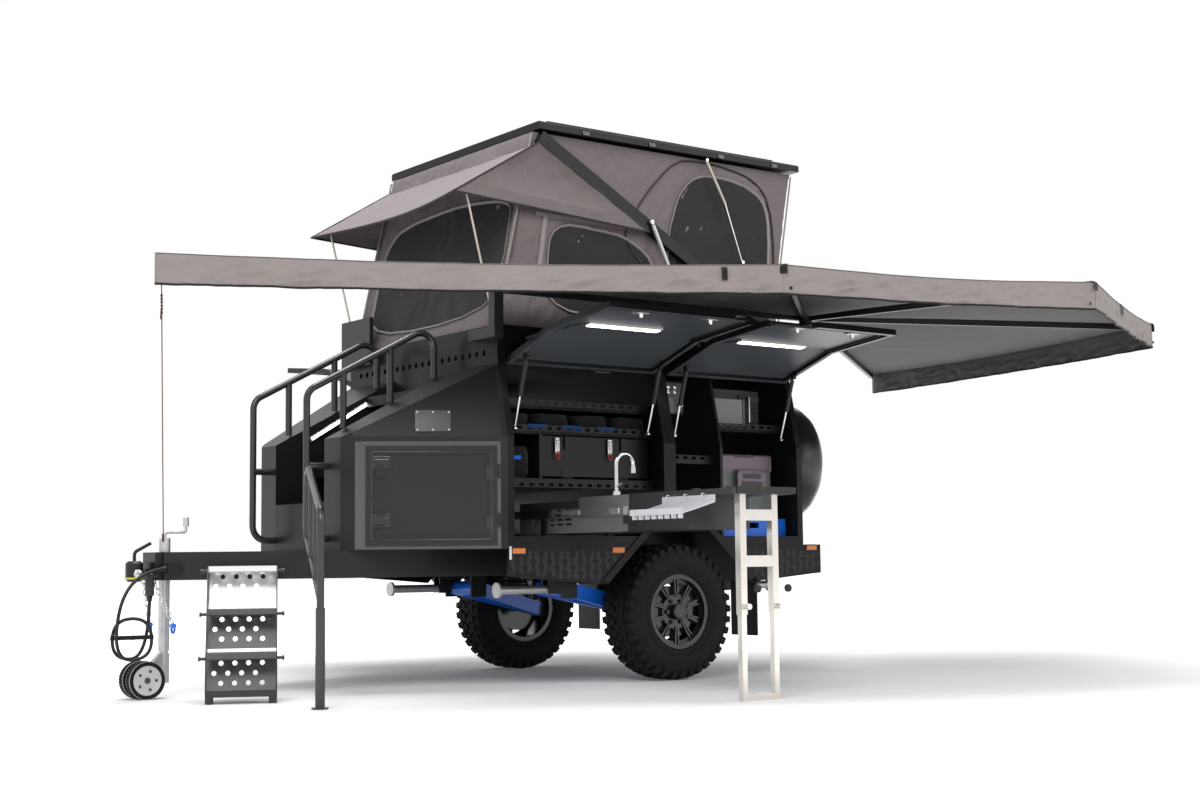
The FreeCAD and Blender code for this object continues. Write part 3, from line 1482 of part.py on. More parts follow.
def fridge():
    """Portable fridge on its slide: body, raised lid and end handle."""
    low = floor_z + slide_rail_h + slide_h + seat_gap * 2
    face = -fridge_face_y()
    body = block(fridge_x, fridge_x + fridge_w, face, face + fridge_depth, low, low + fridge_h - fridge_lid_h)
    upright = [edge for edge in body.Edges if abs(edge.tangentAt(0).z) > bag_edge_share]
    body = body.makeFillet(fridge_round, upright)
    lid = block(fridge_x - fridge_lid_over, fridge_x + fridge_w + fridge_lid_over, face - fridge_lid_over,
                face + fridge_depth + fridge_lid_over, low + fridge_h - fridge_lid_h, low + fridge_h)
    upper = [edge for edge in lid.Edges
             if edge.BoundBox.ZMin > low + fridge_h - seat_gap or abs(edge.tangentAt(0).z) > bag_edge_share]
    lid = lid.makeFillet(fridge_round, upper)
    mid = fridge_x + fridge_w / 2
    grip_top = low + fridge_h - fridge_lid_h
    grip = block(mid - fridge_grip_w / 2, mid + fridge_grip_w / 2, face - fridge_grip_t, face,
                 grip_top - fridge_grip_h, grip_top - fridge_lid_over)
    wide, deep, high = fridge_grip_shares
    hole = block(mid - fridge_grip_w * wide, mid + fridge_grip_w * wide,
                 face - fridge_grip_t + fridge_lid_over,
                 face - fridge_lid_over, grip_top - fridge_grip_h * 2, grip_top - fridge_grip_h * high)
    return fused([body, lid, grip.cut(hole)])


def fridge_face_y():
    return side_y(floor_z, shelf_inset) - fridge_set_back


def fridge_slide():
    """Blue slide under the fridge: a shallow tray box with its handle slot."""
    low = floor_z + slide_rail_h + seat_gap
    face = -(side_y(floor_z, shelf_inset))
    box = block(slide_x, slide_x + slide_w, face, face + slide_depth, low, low + slide_h)
    hollow = block(slide_x + slide_wall, slide_x + slide_w - slide_wall, face + slide_wall,
                   face + slide_depth + overrun,
                   low - overrun, low + slide_h - slide_wall)
    mid = slide_x + slide_w / 2
    slot_z = low + slide_h * slide_slot_share
    slot = block(mid - slide_slot_w / 2, mid + slide_slot_w / 2, face - overrun, face + slide_wall + overrun,
                 slot_z - slide_slot_h / 2, slot_z + slide_slot_h / 2)
    return cut_all(box, [hollow, slot])


def slide_rails():
    """Fixed runners of the fridge slide, on the floor."""
    face = -(side_y(floor_z, shelf_inset))
    rails = []
    for x in (slide_x, slide_x + slide_w - slide_wall * 3):
        rails.append(block(x, x + slide_wall * 3, face, face + slide_depth, floor_z, floor_z + slide_rail_h))
    return rails


def kitchen_drawer():
    """Left kitchen's drawer: an open box with a vented side and its slide bars."""
    y_out, y_in = -drawer_out_y, -drawer_in_y
    box = block(kitchen_x0, kitchen_x1, y_out, y_in, kitchen_low_z, kitchen_top_z - bench_t)
    hollow = block(kitchen_x0 + drawer_t, kitchen_x1 - drawer_t, y_out + drawer_t, y_in - drawer_t,
                   kitchen_low_z + drawer_t, kitchen_top_z)
    vents = []
    for column in range(vent_cols):
        for row in range(vent_rows):
            y = y_in - vent_in - vent_pitch_y * column
            z = kitchen_low_z + vent_up + vent_pitch_z * row
            vents.append(block(kitchen_x0 - overrun, kitchen_x1 + overrun, y - vent_w, y, z, z + vent_h))
    bars = []
    for x in (kitchen_x0 - slide_bar_t, kitchen_x1):
        bars.append(block(x, x + slide_bar_t, y_out + bar_end, y_in + bar_end,
                          kitchen_top_z - bench_t - slide_bar_h * 2,
                          kitchen_top_z - bench_t - slide_bar_h))
    return cut_all(fused([box] + bars), [hollow] + vents)


def kitchen_runners():
    """Outer runners and outriggers that carry the left kitchen inside the body."""
    low = kitchen_top_z - bench_t - slide_bar_h * 2
    y_in = -drawer_in_y + overrun * 4
    y_out = -(inner_y - door_gap)
    pieces = []
    for x0, x1 in ((kitchen_x0 - slide_bar_t - runner_t - seat_gap, kitchen_x0 - slide_bar_t - seat_gap),
                   (kitchen_x1 + slide_bar_t + seat_gap, kitchen_x1 + slide_bar_t + runner_t + seat_gap)):
        rail = block(x0, x1, y_out, y_in, low, low + slide_bar_h)
        posts = [block(x0, x1, y, y + runner_post_w, floor_z, low) for y in (y_out + runner_post_w,
                                                                             y_in - runner_post_w)]
        pieces.append(fused([rail] + posts))
    return pieces


def kitchen_bench():
    """Stainless bench with its sink bowl, over the drawer's outer part."""
    y0, y1 = -drawer_out_y, -(drawer_out_y - bowl_l - bench_edge * 4)
    high = kitchen_top_z - bench_step
    top = block(kitchen_x0, kitchen_x1, y0, y1, high - bench_t, high)
    mid_x = (kitchen_x0 + kitchen_x1) / 2
    mid_y = (y0 + y1) / 2 - bench_edge
    outer = block(mid_x - bowl_w / 2, mid_x + bowl_w / 2, mid_y - bowl_l / 2, mid_y + bowl_l / 2,
                  high - bowl_h, high - bench_t)
    inner = block(mid_x - bowl_w / 2 + bowl_t, mid_x + bowl_w / 2 - bowl_t, mid_y - bowl_l / 2 + bowl_t,
                  mid_y + bowl_l / 2 - bowl_t, high - bowl_h + bowl_t, high + overrun)
    return fused([top, outer]).cut(inner)


def kitchen_end_box():
    """Outer kitchen box with its latch plate, and the drop front below it."""
    y0, y1 = -sink_out_y, -drawer_out_y
    top = kitchen_top_z - table_t
    box = block(kitchen_x0, kitchen_x1, y0, y1, kitchen_low_z, top)
    hollow = block(kitchen_x0 + drawer_t, kitchen_x1 - drawer_t, y0 + drawer_t, y1 - drawer_t,
                   kitchen_low_z + drawer_t, top + overrun)
    latch = block(kitchen_x0 - latch_t, kitchen_x0, y1 - latch_h, y1 + latch_h / 2, kitchen_low_z + latch_w,
                  kitchen_low_z + latch_w * 2)
    return fused([box.cut(hollow), latch])


def kitchen_table():
    """Folded-out table leaf over the outer box, with its hinge line and end clips."""
    leaf = block(kitchen_x0, kitchen_x1, -table_out_y, -drawer_out_y, kitchen_top_z - table_t, kitchen_top_z)
    clips = []
    for y in (-sink_out_y, -table_out_y + leg_w * 2):
        clips.append(block(kitchen_x0 + leg_w, kitchen_x0 + leg_w * 2, y, y + leg_w / 2, kitchen_top_z,
                           kitchen_top_z + leg_w / 4))
    return fused([leaf] + clips)


def kitchen_leg():
    """Telescopic support frame under the table: sleeves, inner legs, cross plates and foot bar."""
    top = kitchen_top_z - table_t
    pieces = []
    for x in (leg_x0, leg_x1 - leg_w):
        outer = block(x, x + leg_w, -leg_y, -leg_y + leg_w, leg_split_z, top)
        slim = (leg_w - leg_in_w) / 2
        inner = block(x + slim, x + slim + leg_in_w, -leg_y + slim, -leg_y + slim + leg_in_w, 0, leg_split_z)
        knob = rod(vec(x + leg_w / 2, -leg_y, leg_split_z + leg_w),
                   vec(x + leg_w / 2, -leg_y - leg_w, leg_split_z + leg_w), leg_knob_r)
        pieces += [outer, inner, knob]
    slim = (leg_w - leg_in_w) / 2
    pieces.append(block(leg_x0 + slim, leg_x1 - slim, -leg_y + slim, -leg_y + slim + leg_in_w, 0, leg_foot_h))
    for z in leg_plate_z:
        pieces.append(block(leg_x0, leg_x1, -leg_y, -leg_y + leg_plate_t, z, z + leg_plate_h))
    return fused(pieces)


def faucet():
    """Swan-neck tap behind the sink bowl."""
    foot_r, nozzle_len, nozzle_r, lever_low, lever_out, lever_high = [faucet_r * share for share in faucet_sizes]
    x = kitchen_x0 + faucet_in_x
    base = vec(x, -faucet_y, kitchen_top_z - bench_step)
    top = base.z + faucet_h + faucet_bend_r
    over = x + faucet_bend_r * 2
    tip = vec(over, -faucet_y, top - faucet_bend_r - faucet_drop)
    pipe = bent_bar([base, vec(x, -faucet_y, top), vec(over, -faucet_y, top), tip], faucet_r,
                    faucet_bend_r - seat_gap)
    foot = rod(base, base + vec(0, 0, foot_r), foot_r)
    nozzle = rod(tip, tip + vec(0, 0, nozzle_len), nozzle_r)
    lever = rod(base + vec(0, 0, lever_low), base + vec(0, -lever_out, lever_high), faucet_r / 2)
    return fused([pipe, foot, nozzle, lever])


def dish_tray():
    """Dish rack hung from the table's edge: an upright leaf, a sloped leaf, a lip and its pegs."""
    x1 = kitchen_x0 - seat_gap
    x0 = x1 - rack_w
    top = kitchen_top_z - table_t
    base = top - rack_drop
    low = base - rack_slope
    y0 = -table_out_y + rack_in
    y1 = y0 + rack_l
    back = block(x1 - rack_t, x1, y0, y1, base - rack_t, top)
    leaf = prism_y([(x1, base), (x0, low), (x0, low - rack_t), (x1, base - rack_t)], y0, y1)
    lip = block(x0, x0 + rack_t, y0, y1, low - rack_t, low + rack_lip)
    pegs = []
    for index in range(rack_pegs):
        y = y0 + (y1 - y0) * (index + 0.5) / rack_pegs
        pegs.append(block(x0, x0 + rack_lip, y - rack_t, y + rack_t, low - rack_lip, low))
    return fused([back, leaf, lip] + pegs)


def spare_wheel():
    """Spare wheel in its soft cover, held flat against the rear wall's carrier."""
    x0 = body_rear_x + spare_gap
    cover = rod(vec(x0, spare_y, spare_z), vec(x0 + spare_t, spare_y, spare_z), spare_d / 2)
    edges = [edge for edge in cover.Edges if edge.Curve.TypeId == "Part::GeomCircle"]
    return cover.makeFillet(spare_round, edges)


def spare_carrier():
    """Bracket from the rear wall to the spare wheel's hub face."""
    half = carrier_w
    foot = block(body_rear_x, body_rear_x + carrier_t, spare_y - half * 2, spare_y + half * 2,
                 spare_z - half * 3, spare_z + half * 2)
    arm = block(body_rear_x, body_rear_x + spare_gap - seat_gap, spare_y - half, spare_y + half,
                spare_z - half, spare_z + half)
    return fused([foot, arm])


def rear_bumper():
    """Rear cross beam that closes the side panels, with shackle lugs."""
    x0 = rail_rear_x + seat_gap
    beam = block(x0, skirt_rear_x, -(body_half_w - skirt_t), body_half_w - skirt_t, bumper_low_z,
                 bumper_top_z)
    lugs = []
    for side in (1, -1):
        y = side * (body_half_w - skirt_t - lug_in)
        lug = block(skirt_rear_x + seat_gap, skirt_rear_x + lug_len, y - lug_t / 2, y + lug_t / 2, bumper_low_z,
                    bumper_low_z + lug_h)
        hole = rod(vec(skirt_rear_x + lug_len / 2, y - lug_t, bumper_low_z + lug_h / 2),
                   vec(skirt_rear_x + lug_len / 2, y + lug_t, bumper_low_z + lug_h / 2), lug_hole_r)
        lugs.append(lug.cut(hole))
    return [beam] + lugs


def mud_flap():
    """Right rubber flap behind the wheel, on the underside of its hanger bar."""
    top = rail_low_z - seat_gap
    outer = body_half_w - skirt_t - seat_gap
    return block(flap_x, flap_x + flap_t, outer - flap_w, outer, flap_low_z, top)


def flap_bar_right():
    """Bar from the right rail out to the side panel, over the mud flap."""
    start = stab_y + stab_r + running_gap + stab_cheek_t + seat_gap
    return block(flap_x, flap_x + flap_bar, start, body_half_w - skirt_t - seat_gap, rail_low_z,
                 rail_low_z + flap_bar)


def stabiliser():
    """Folded stabiliser leg along +X from a pivot at the origin: tube, foot disc and pivot boss."""
    tube = rod(vec(0, 0, 0), vec(stab_len, 0, 0), stab_tube_r)
    foot = rod(vec(stab_len, 0, 0), vec(stab_len + stab_foot_t, 0, 0), stab_foot_r)
    boss = rod(vec(0, -stab_r, 0), vec(0, stab_r, 0), stab_boss_r)
    bore = rod(vec(0, -stab_r * 2, 0), vec(0, stab_r * 2, 0), stab_pin_r + running_gap / 10)
    return fused([tube, foot, boss]).cut(bore)


def write_stabilisers():
    rear = stabiliser()
    front = turned(rear, vec(0, 0, 0), vec(0, 0, 1), 180)
    for name, leg, x in (("front", front, stab_front_x), ("rear", rear, stab_rear_x)):
        for side, y in (("left", -stab_y), ("right", stab_y)):
            write("stabiliser_" + name + "_" + side, moved(leg, x, y, stab_z))


def stabiliser_bracket(x):
    """Outrigger, and the two cheeks and pin below it that hold a right stabiliser leg."""
    half = stab_cheek_w / 2
    inner = stab_y - stab_r - running_gap - stab_cheek_t
    outer = stab_y + stab_r + running_gap
    arm = block(x - half, x + half, rail_out_y + seat_gap, outer + stab_cheek_t, rail_low_z,
                rail_low_z + stab_cheek_w / 2)
    cheeks = [block(x - half, x + half, y, y + stab_cheek_t, stab_z - stab_r, rail_low_z - seat_gap)
              for y in (inner, outer)]
    pin = rod(vec(x, inner, stab_z), vec(x, outer + stab_cheek_t, stab_z), stab_pin_r)
    return [arm, fused(cheeks + [pin])]


def tent_tray():
    """Hard lower shell of the roof tent: an open tray with its share of the rear hinge."""
    low, top = body_top_z, body_top_z + tray_h
    outer = block(body_front_x, tent_rear_x, -tent_half_w, tent_half_w, low, top)
    inner = block(body_front_x + tray_wall, tent_rear_x - tray_wall, -tent_half_w + tray_wall,
                  tent_half_w - tray_wall,
                  low + tray_wall, top + overrun)
    axis = tent_rear_axis()
    pieces = [outer.cut(inner)]
    for y in tent_barrel_y:
        far = y + tent_barrel_len / 2 - seat_gap
        pieces.append(rod(vec(axis.x, y, axis.z), vec(axis.x, far, axis.z), tent_barrel_r))
        pieces.append(block(tent_rear_x, axis.x, y, far, axis.z - tent_barrel_r, axis.z))
    for side in (1, -1):
        pieces.append(strut_stud(tent_strut_foot, side))
    return fused(pieces)


def strut_stud(place, side):
    """Stud on the tent's side beside a tent strut's eye."""
    x, z = place
    near, far = side * (tent_half_w - tray_wall / 2), side * (tent_half_w + tent_strut_stud - seat_gap)
    return rod(vec(x, near, z), vec(x, far, z), strut_pin_r)


def tent_rear_axis():
    return vec(tent_rear_x + tent_barrel_off, 0, body_top_z + tray_h)


def tent_front_axis():
    """Hinge between middle frame and lid, while the tent is closed."""
    return vec(mid_front_x - tent_barrel_off, 0, body_top_z + tray_h + tray_gap + mid_t)


def raised(shape):
    """A piece of the closed middle frame swung up to the open tent."""
    return turned(shape, tent_rear_axis(), vec(0, 1, 0), mid_angle)


def open_front_axis():
    return raised(Part.Vertex(tent_front_axis())).Point


def tent_mid_frame():
    """Middle frame, raised at its front: four bars, its shares of both hinges and the strut studs."""
    low = body_top_z + tray_h + tray_gap
    top = low + mid_t
    outer = block(mid_front_x, tent_rear_x, -tent_half_w, tent_half_w, low, top)
    inner = block(mid_front_x + mid_w, tent_rear_x - mid_w, -tent_half_w + mid_w, tent_half_w - mid_w,
                  low - overrun, top + overrun)
    rear, front = tent_rear_axis(), tent_front_axis()
    pieces = [outer.cut(inner)]
    for y in tent_barrel_y:
        near, far = y + tent_barrel_len / 2, y + tent_barrel_len - seat_gap
        pieces.append(rod(vec(rear.x, near, rear.z), vec(rear.x, far, rear.z), tent_barrel_r))
        pieces.append(block(tent_rear_x, rear.x, near, far, low, rear.z + tent_barrel_r))
        pieces.append(rod(vec(front.x, near, front.z), vec(front.x, far, front.z), tent_barrel_r))
        pieces.append(block(front.x, mid_front_x, near, far, front.z - tent_barrel_r, front.z))
    studs = [strut_stud(tent_strut_top, side) for side in (1, -1)]
    return fused([raised(fused(pieces))] + studs)


def tent_lid():
    """Level hard lid on the middle frame's front hinge, with three slotted roof rails."""
    axis = open_front_axis()
    x0 = axis.x - lid_over
    x1 = x0 + lid_len
    low = axis.z + lid_lift
    top = low + lid_t
    edge = tent_half_w - lid_edge_cut
    line = [(-tent_half_w, low), (tent_half_w, low), (tent_half_w, top - lid_edge_cut), (edge, top),
            (-edge, top), (-tent_half_w, top - lid_edge_cut)]
    pieces = [prism_x(line, x0, x1)]
    for y in roof_rail_y:
        bar = block(x0 + roof_rail_inset, x1 - roof_rail_inset, y - roof_rail_w / 2, y + roof_rail_w / 2,
                    top, top + roof_rail_h)
        slot = block(x0 + roof_rail_inset - overrun, x1 - roof_rail_inset + overrun, y - roof_rail_w / 4,
                     y + roof_rail_w / 4, top + roof_rail_h / 2, top + roof_rail_h + overrun)
        pieces.append(bar.cut(slot))
    for y in tent_barrel_y:
        far = y + tent_barrel_len / 2 - seat_gap
        pieces.append(rod(vec(axis.x, y, axis.z), vec(axis.x, far, axis.z), tent_barrel_r))
        pieces.append(block(axis.x - tent_barrel_r, axis.x, y, far, axis.z, low))
    return fused(pieces)


def tent_walls():
    """Fabric walls between tray and lid, inside the middle frame's bars."""
    axis = open_front_axis()
    corner = raised(Part.Vertex(vec(mid_front_x + mid_w, 0, body_top_z + tray_h + tray_gap))).Point
    base, rim_z = body_top_z + tray_wall + seat_gap, body_top_z + tray_h
    top = axis.z + lid_lift - seat_gap
    under, behind, above = [(corner.x + a * tent_tuck, corner.z + b * tent_tuck) for a, b in tent_tuck_shares]
    line = [(tent_wall_front_x, base), (tent_wall_front_x, rim_z), under, behind, (above[0], top),
            (tent_wall_top_rear_x, top), tent_wall_knee, (tent_wall_rear_x, rim_z), (tent_wall_rear_x, base)]
    half = tent_half_w - mid_w - tent_wall_gap
    outer = prism_y(line, -half, half)
    closed = line + line[:2]
    through = []
    for x, z in offset_line(closed, -tent_fabric_t)[1:-1]:
        z = base - overrun if z < base + tent_fabric_t * 2 else z
        z = top + overrun if z > top - tent_fabric_t * 2 else z
        through.append((x, z))
    return outer.cut(prism_y(through, -half + tent_fabric_t, half - tent_fabric_t))


def tent_fly():
    """Rain hood over the tent's front: a sloped sheet and two side sheets under the raised bars."""
    low = body_top_z + tray_h + tray_gap - seat_gap
    start = raised(Part.Vertex(vec(mid_front_x, 0, low))).Point
    end = raised(Part.Vertex(vec(tent_rear_x, 0, low))).Point
    back = start + (end - start) * fly_back_share
    front = vec(fly_front[0], 0, fly_front[1])
    half = tent_half_w + fly_out
    outer = prism_y([(start.x, start.z), (front.x, front.z), (back.x, back.z)], -half, half)
    slope = (start - front).normalize()
    down = vec(slope.z, 0, -slope.x) * fly_t
    inner_start, inner_front = start + down + slope * overrun * 4, front + down - slope * overrun * 4
    inner = prism_y([(inner_start.x, inner_start.z), (inner_front.x, inner_front.z),
                     (inner_front.x, inner_front.z - tent_half_w * 2),
                     (inner_start.x, inner_start.z - tent_half_w * 2)], -half + fly_t, half - fly_t)
    behind = block(start.x, back.x, -half + fly_t, half - fly_t, fly_front[1] - tent_half_w,
                   start.z + overrun)
    return outer.cut(inner).cut(behind)


def tent_strut_parts():
    """Struts that hold the middle frame: tubes on the frame and rods on the tray, on both sides."""
    top, foot = tent_strut_top, tent_strut_foot
    tubes, rods = [], []
    for side in (1, -1):
        y = side * (tent_half_w + tent_strut_stud + strut_eye_t / 2)
        a, b = vec(top[0], y, top[1]), vec(foot[0], y, foot[1])
        way = (b - a).normalize()
        half = vec(0, strut_eye_t / 2, 0)
        neck = rod(a, a + way * strut_eye_r * 2, strut_neck_r)
        tube = rod(a + way * strut_eye_r * strut_neck_share, a + way * tent_strut_tube_len, strut_tube_r)
        bore = rod(a + way * strut_eye_r * 2, a + way * (tent_strut_tube_len + overrun),
                   strut_rod_r + running_gap)
        tubes.append(fused([tube, neck, rod(a - half, a + half, strut_eye_r)]).cut(bore))
        rods.append(fused([rod(a + way * tent_strut_rod_start, b, strut_rod_r),
                           rod(b - half, b + half, strut_eye_r)]))
    return tubes, rods


def awning_canopy():
    """Wing awning's two roof panels, seamed over the side arm, with a valance strip under each outer edge."""
    hub = (hub_x, hub_y)
    seam = vec(awning_corners[2][0] - hub_x, awning_corners[2][1] - hub_y, 0).normalize()
    aside = (-seam.y * running_gap, seam.x * running_gap)
    split = [(x + aside[0], y + aside[1]) for x, y in (hub, awning_corners[2])]
    panels = [[hub] + list(awning_corners[:3]), [split[0], split[1]] + list(awning_corners[3:])]
    pieces = [prism_z(panel, awning_z - awning_t, awning_z) for panel in panels]
    inner = offset_line(awning_corners, awning_t)
    top = awning_z - awning_t - seat_gap
    for a, b, c, d in zip(awning_corners, awning_corners[1:], inner[1:], inner):
        way = vec(b[0] - a[0], b[1] - a[1], 0).normalize() * running_gap
        strip = [(a[0] + way.x, a[1] + way.y), (b[0] - way.x, b[1] - way.y), (c[0] - way.x, c[1] - way.y),
                 (d[0] + way.x, d[1] + way.y)]
        pieces.append(prism_z(strip, awning_z - awning_drop, top))
    return pieces


def awning_frame():
    """Hub post with its bracket, and the five arms that spread from it under the awning."""
    top = awning_z - awning_t - seat_gap
    hub = rod(vec(hub_x, hub_y, hub_low_z), vec(hub_x, hub_y, top), hub_r)
    base = block(hub_x - hub_base_half, hub_x, hub_y, -tent_half_w - seat_gap, hub_low_z,
                 hub_low_z + hub_base_t)
    pieces = [fused([hub, base])]
    for x, y in awning_corners:
        way = vec(x - hub_x, y - hub_y, 0)
        length = way.Length - arm_short
        way = way.normalize()
        out = vec(-way.y, way.x, 0) * (arm_w / 2)
        start, end = vec(hub_x, hub_y, 0) + way * (hub_r + seat_gap), vec(hub_x, hub_y, 0) + way * length
        points = [start + out, start - out, end - out, end + out]
        pieces.append(prism_z([(p.x, p.y) for p in points], top - arm_h, top))
    return pieces


def awning_rests():
    """Brackets at the front that carry the front arm and the stowed awning's far end."""
    first = awning_corners[0]
    share = (rest_x - first[0]) / (hub_x - first[0])
    arm_y = first[1] + (hub_y - first[1]) * share
    low, top = hub_low_z, awning_z - awning_t - arm_h - seat_gap * 2
    far_x = body_front_x - seat_gap
    foot = block(rest_x - rest_w / 2, far_x, rest_y, arm_y + rest_w / 2, low, low + rest_w)
    post = block(rest_x - rest_w / 2, rest_x + rest_w / 2, arm_y - rest_w / 2, arm_y + rest_w / 2, low, top)
    y0, y1 = far_rest_y
    plate = block(far_rest_x, far_rest_x + far_rest_t, y0, y1, far_rest_low_z, far_rest_top_z)
    heel = block(far_rest_x, far_x, y0, y0 + far_rest_foot_h * 2, far_rest_low_z,
                 far_rest_low_z + far_rest_foot_h)
    return [fused([foot, post]), fused([plate, heel])]


def cable_route():
    """The cable's corner points and the bend radius at each inner one."""
    points = [vec(coupling_x + x, y, coupling_z + z) for x, y, z in cable_run]
    radii = []
    for before, corner, after in zip(points, points[1:], points[2:]):
        back, ahead = before - corner, after - corner
        turn = math.pi - back.getAngle(ahead)
        radii.append(cable_share * min(back.Length, ahead.Length) / math.tan(turn / 2))
    return points, radii


def cable():
    """Trailer cable that hangs in a loop from its box beside the drawbar's tip."""
    points, radii = cable_route()
    edges = []
    start = points[0]
    for before, corner, after, bend in zip(points, points[1:], points[2:], radii):
        back = (before - corner).normalize()
        ahead = (after - corner).normalize()
        half = back.getAngle(ahead) / 2
        first = corner + back * (bend / math.tan(half))
        last = corner + ahead * (bend / math.tan(half))
        middle = corner + (back + ahead).normalize() * (bend / math.sin(half) - bend)
        edges += [Part.LineSegment(start, first).toShape(), Part.Arc(first, middle, last).toShape()]
        start = last
    edges.append(Part.LineSegment(start, points[-1]).toShape())
    section = Part.Wire(Part.makeCircle(cable_r, points[0], points[1] - points[0]))
    print("cable bend radii", [round(radius, 1) for radius in radii])
    return Part.Wire(edges).makePipeShell([section], True, False)


def cable_plug():
    """Plug on the cable's free end, parked with its lid under the coupling's holder."""
    tip = cable_route()[0][-1]
    body = rod(tip + vec(0, 0, seat_gap), tip + vec(0, 0, plug_len), plug_r)
    lid = block(tip.x - plug_lid_w / 2, tip.x + plug_lid_w / 2, tip.y - plug_lid_w / 2,
                tip.y + plug_lid_w / 2,
                tip.z + plug_len, tip.z + plug_len + plug_lid_t)
    return fused([body, lid])


def cable_box():
    """Junction box on the drawbar's left side, where the cable starts."""
    start = cable_route()[0][0]
    x0 = start.x + box_gap
    x1 = x0 + box_l
    y0, y1 = [-draw_rail_y(x, rail_w / 2) - seat_gap for x in (x0, x1)]
    return prism_z([(x0, y0), (x1, y1), (x1, start.y - box_out), (x0, start.y - box_out)],
                   start.z - box_h / 2, start.z + box_h / 2)


def both_sides(shapes):
    """Pieces of the right side together with their mirror images."""
    return [copy for shape in shapes for copy in (shape, mirrored(shape))]


def write_sides(name, shape):
    write(name + "_right", shape)
    write(name + "_left", mirrored(shape))


def hatch_spans():
    """X range of each side hatch, and of the post behind each of its ends."""
    front = (body_front_x + post_w + door_gap, mid_post_x0 - door_gap)
    rear = (mid_post_x1 + door_gap, body_rear_x - post_w - door_gap)
    front_backs = (body_front_x + wall_t + seat_gap, front_divider_x - seat_gap)
    rear_backs = (front_divider_x + divider_t + seat_gap, body_rear_x - wall_t - seat_gap)
    return ("front", front, front_backs), ("rear", rear, rear_backs)


def write_running_gear():
    brackets = stabiliser_bracket(stab_front_x) + stabiliser_bracket(stab_rear_x)
    doubled = chassis_rails() + pivot_hanger() + brackets + [flap_bar_right()]
    write("chassis_frame", Part.makeCompound(chassis_crosses() + rear_bumper() + [cable_box()]
                                             + both_sides(doubled)))
    write("coupling_head", coupling_head())
    write("trailing_arms", Part.makeCompound(both_sides([trailing_arm()])))
    write("spring_units", Part.makeCompound(both_sides([air_bag(), shock()])))
    write_sides("tyre", tyre())
    write_sides("rim", fused([rim(), brake_drum()]))
    write("mud_flaps", Part.makeCompound(both_sides([mud_flap()])))
    write_stabilisers()
    write("jockey_post", jockey_post())
    write("jockey_fork", jockey_fork())
    discs, treads = jockey_wheels()
    write("jockey_wheels", Part.makeCompound([fused([disc, tread]) for disc, tread in zip(discs, treads)]))


def write_body():
    liner = arch_liner()
    write("body_shell", fused([body_floor(), body_front_wall(), body_rear_wall(), body_roof(),
                               spare_carrier(),
                               liner, mirrored(liner)]))
    studs = []
    for name, span, posts in hatch_spans():
        studs += strut_studs(span[0], span[1], posts[0], posts[1])
    write("side_frames", Part.makeCompound(both_sides([fused([side_frame()] + studs)])))
    write("side_skirts", Part.makeCompound(both_sides(side_skirts())))
    write("interior_frame", fused([divider(front_divider_x), divider(divider_x), front_shelves()]
                                  + rear_shelves() + slide_rails() + kitchen_runners()))
    write("nose_lockers", Part.makeCompound(both_sides([nose_locker()])))
    write_sides("locker_door", locker_door())
    write("nose_stairs", nose_stairs())
    write("handrails", Part.makeCompound(both_sides([handrail()]) + [side_rail()]))
    frame, feet, cross = folding_steps()
    write("folding_steps", fused([frame, feet, cross]))
    write("spare_wheel", spare_wheel())


def write_hatches():
    for name, span, posts in hatch_spans():
        x0, x1 = span
        write_sides("hatch_" + name, opened(fused([hatch(x0, x1)] + hatch_brackets(x0, x1))))
        tubes, rods = strut_parts(x0, x1)
        write_sides("strut_tubes_" + name, Part.makeCompound(tubes))
        write_sides("strut_rods_" + name, Part.makeCompound(rods))


def write_interior():
    write("cabinet_door", cabinet_door())
    write("storage_bags", Part.makeCompound(storage_bags()))
    write("appliances", Part.makeCompound([oven(), control_panel()]))
    write("fridge", fridge())
    write("fridge_slide", fridge_slide())
    write("kitchen_unit", fused([kitchen_drawer(), kitchen_bench(), kitchen_end_box(), kitchen_table()]))
    write("kitchen_leg", kitchen_leg())
    write("faucet", faucet())
    write("dish_tray", dish_tray())


def write_tent_and_awning():
    write("tent_tray", tent_tray())
    write("tent_mid_frame", tent_mid_frame())
    write("tent_lid", tent_lid())
    write("tent_walls", tent_walls())
    write("tent_fly", tent_fly())
    tubes, rods = tent_strut_parts()
    write("tent_strut_tubes", Part.makeCompound(tubes))
    write("tent_strut_rods", Part.makeCompound(rods))
    write("awning_canopy", Part.makeCompound(awning_canopy()))
    write("awning_frame", Part.makeCompound(awning_frame() + awning_rests()))
    write("cable", cable())
    write("cable_plug", cable_plug())


os.makedirs("parts", exist_ok=True)
write_running_gear()
write_body()
write_hatches()
write_interior()
write_tent_and_awning()
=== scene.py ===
"""Looks of an off-road camper trailer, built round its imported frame."""
import json
from math import cos, hypot, pi, radians, sin

import bmesh
import bpy
from mathutils import Matrix, Vector, noise


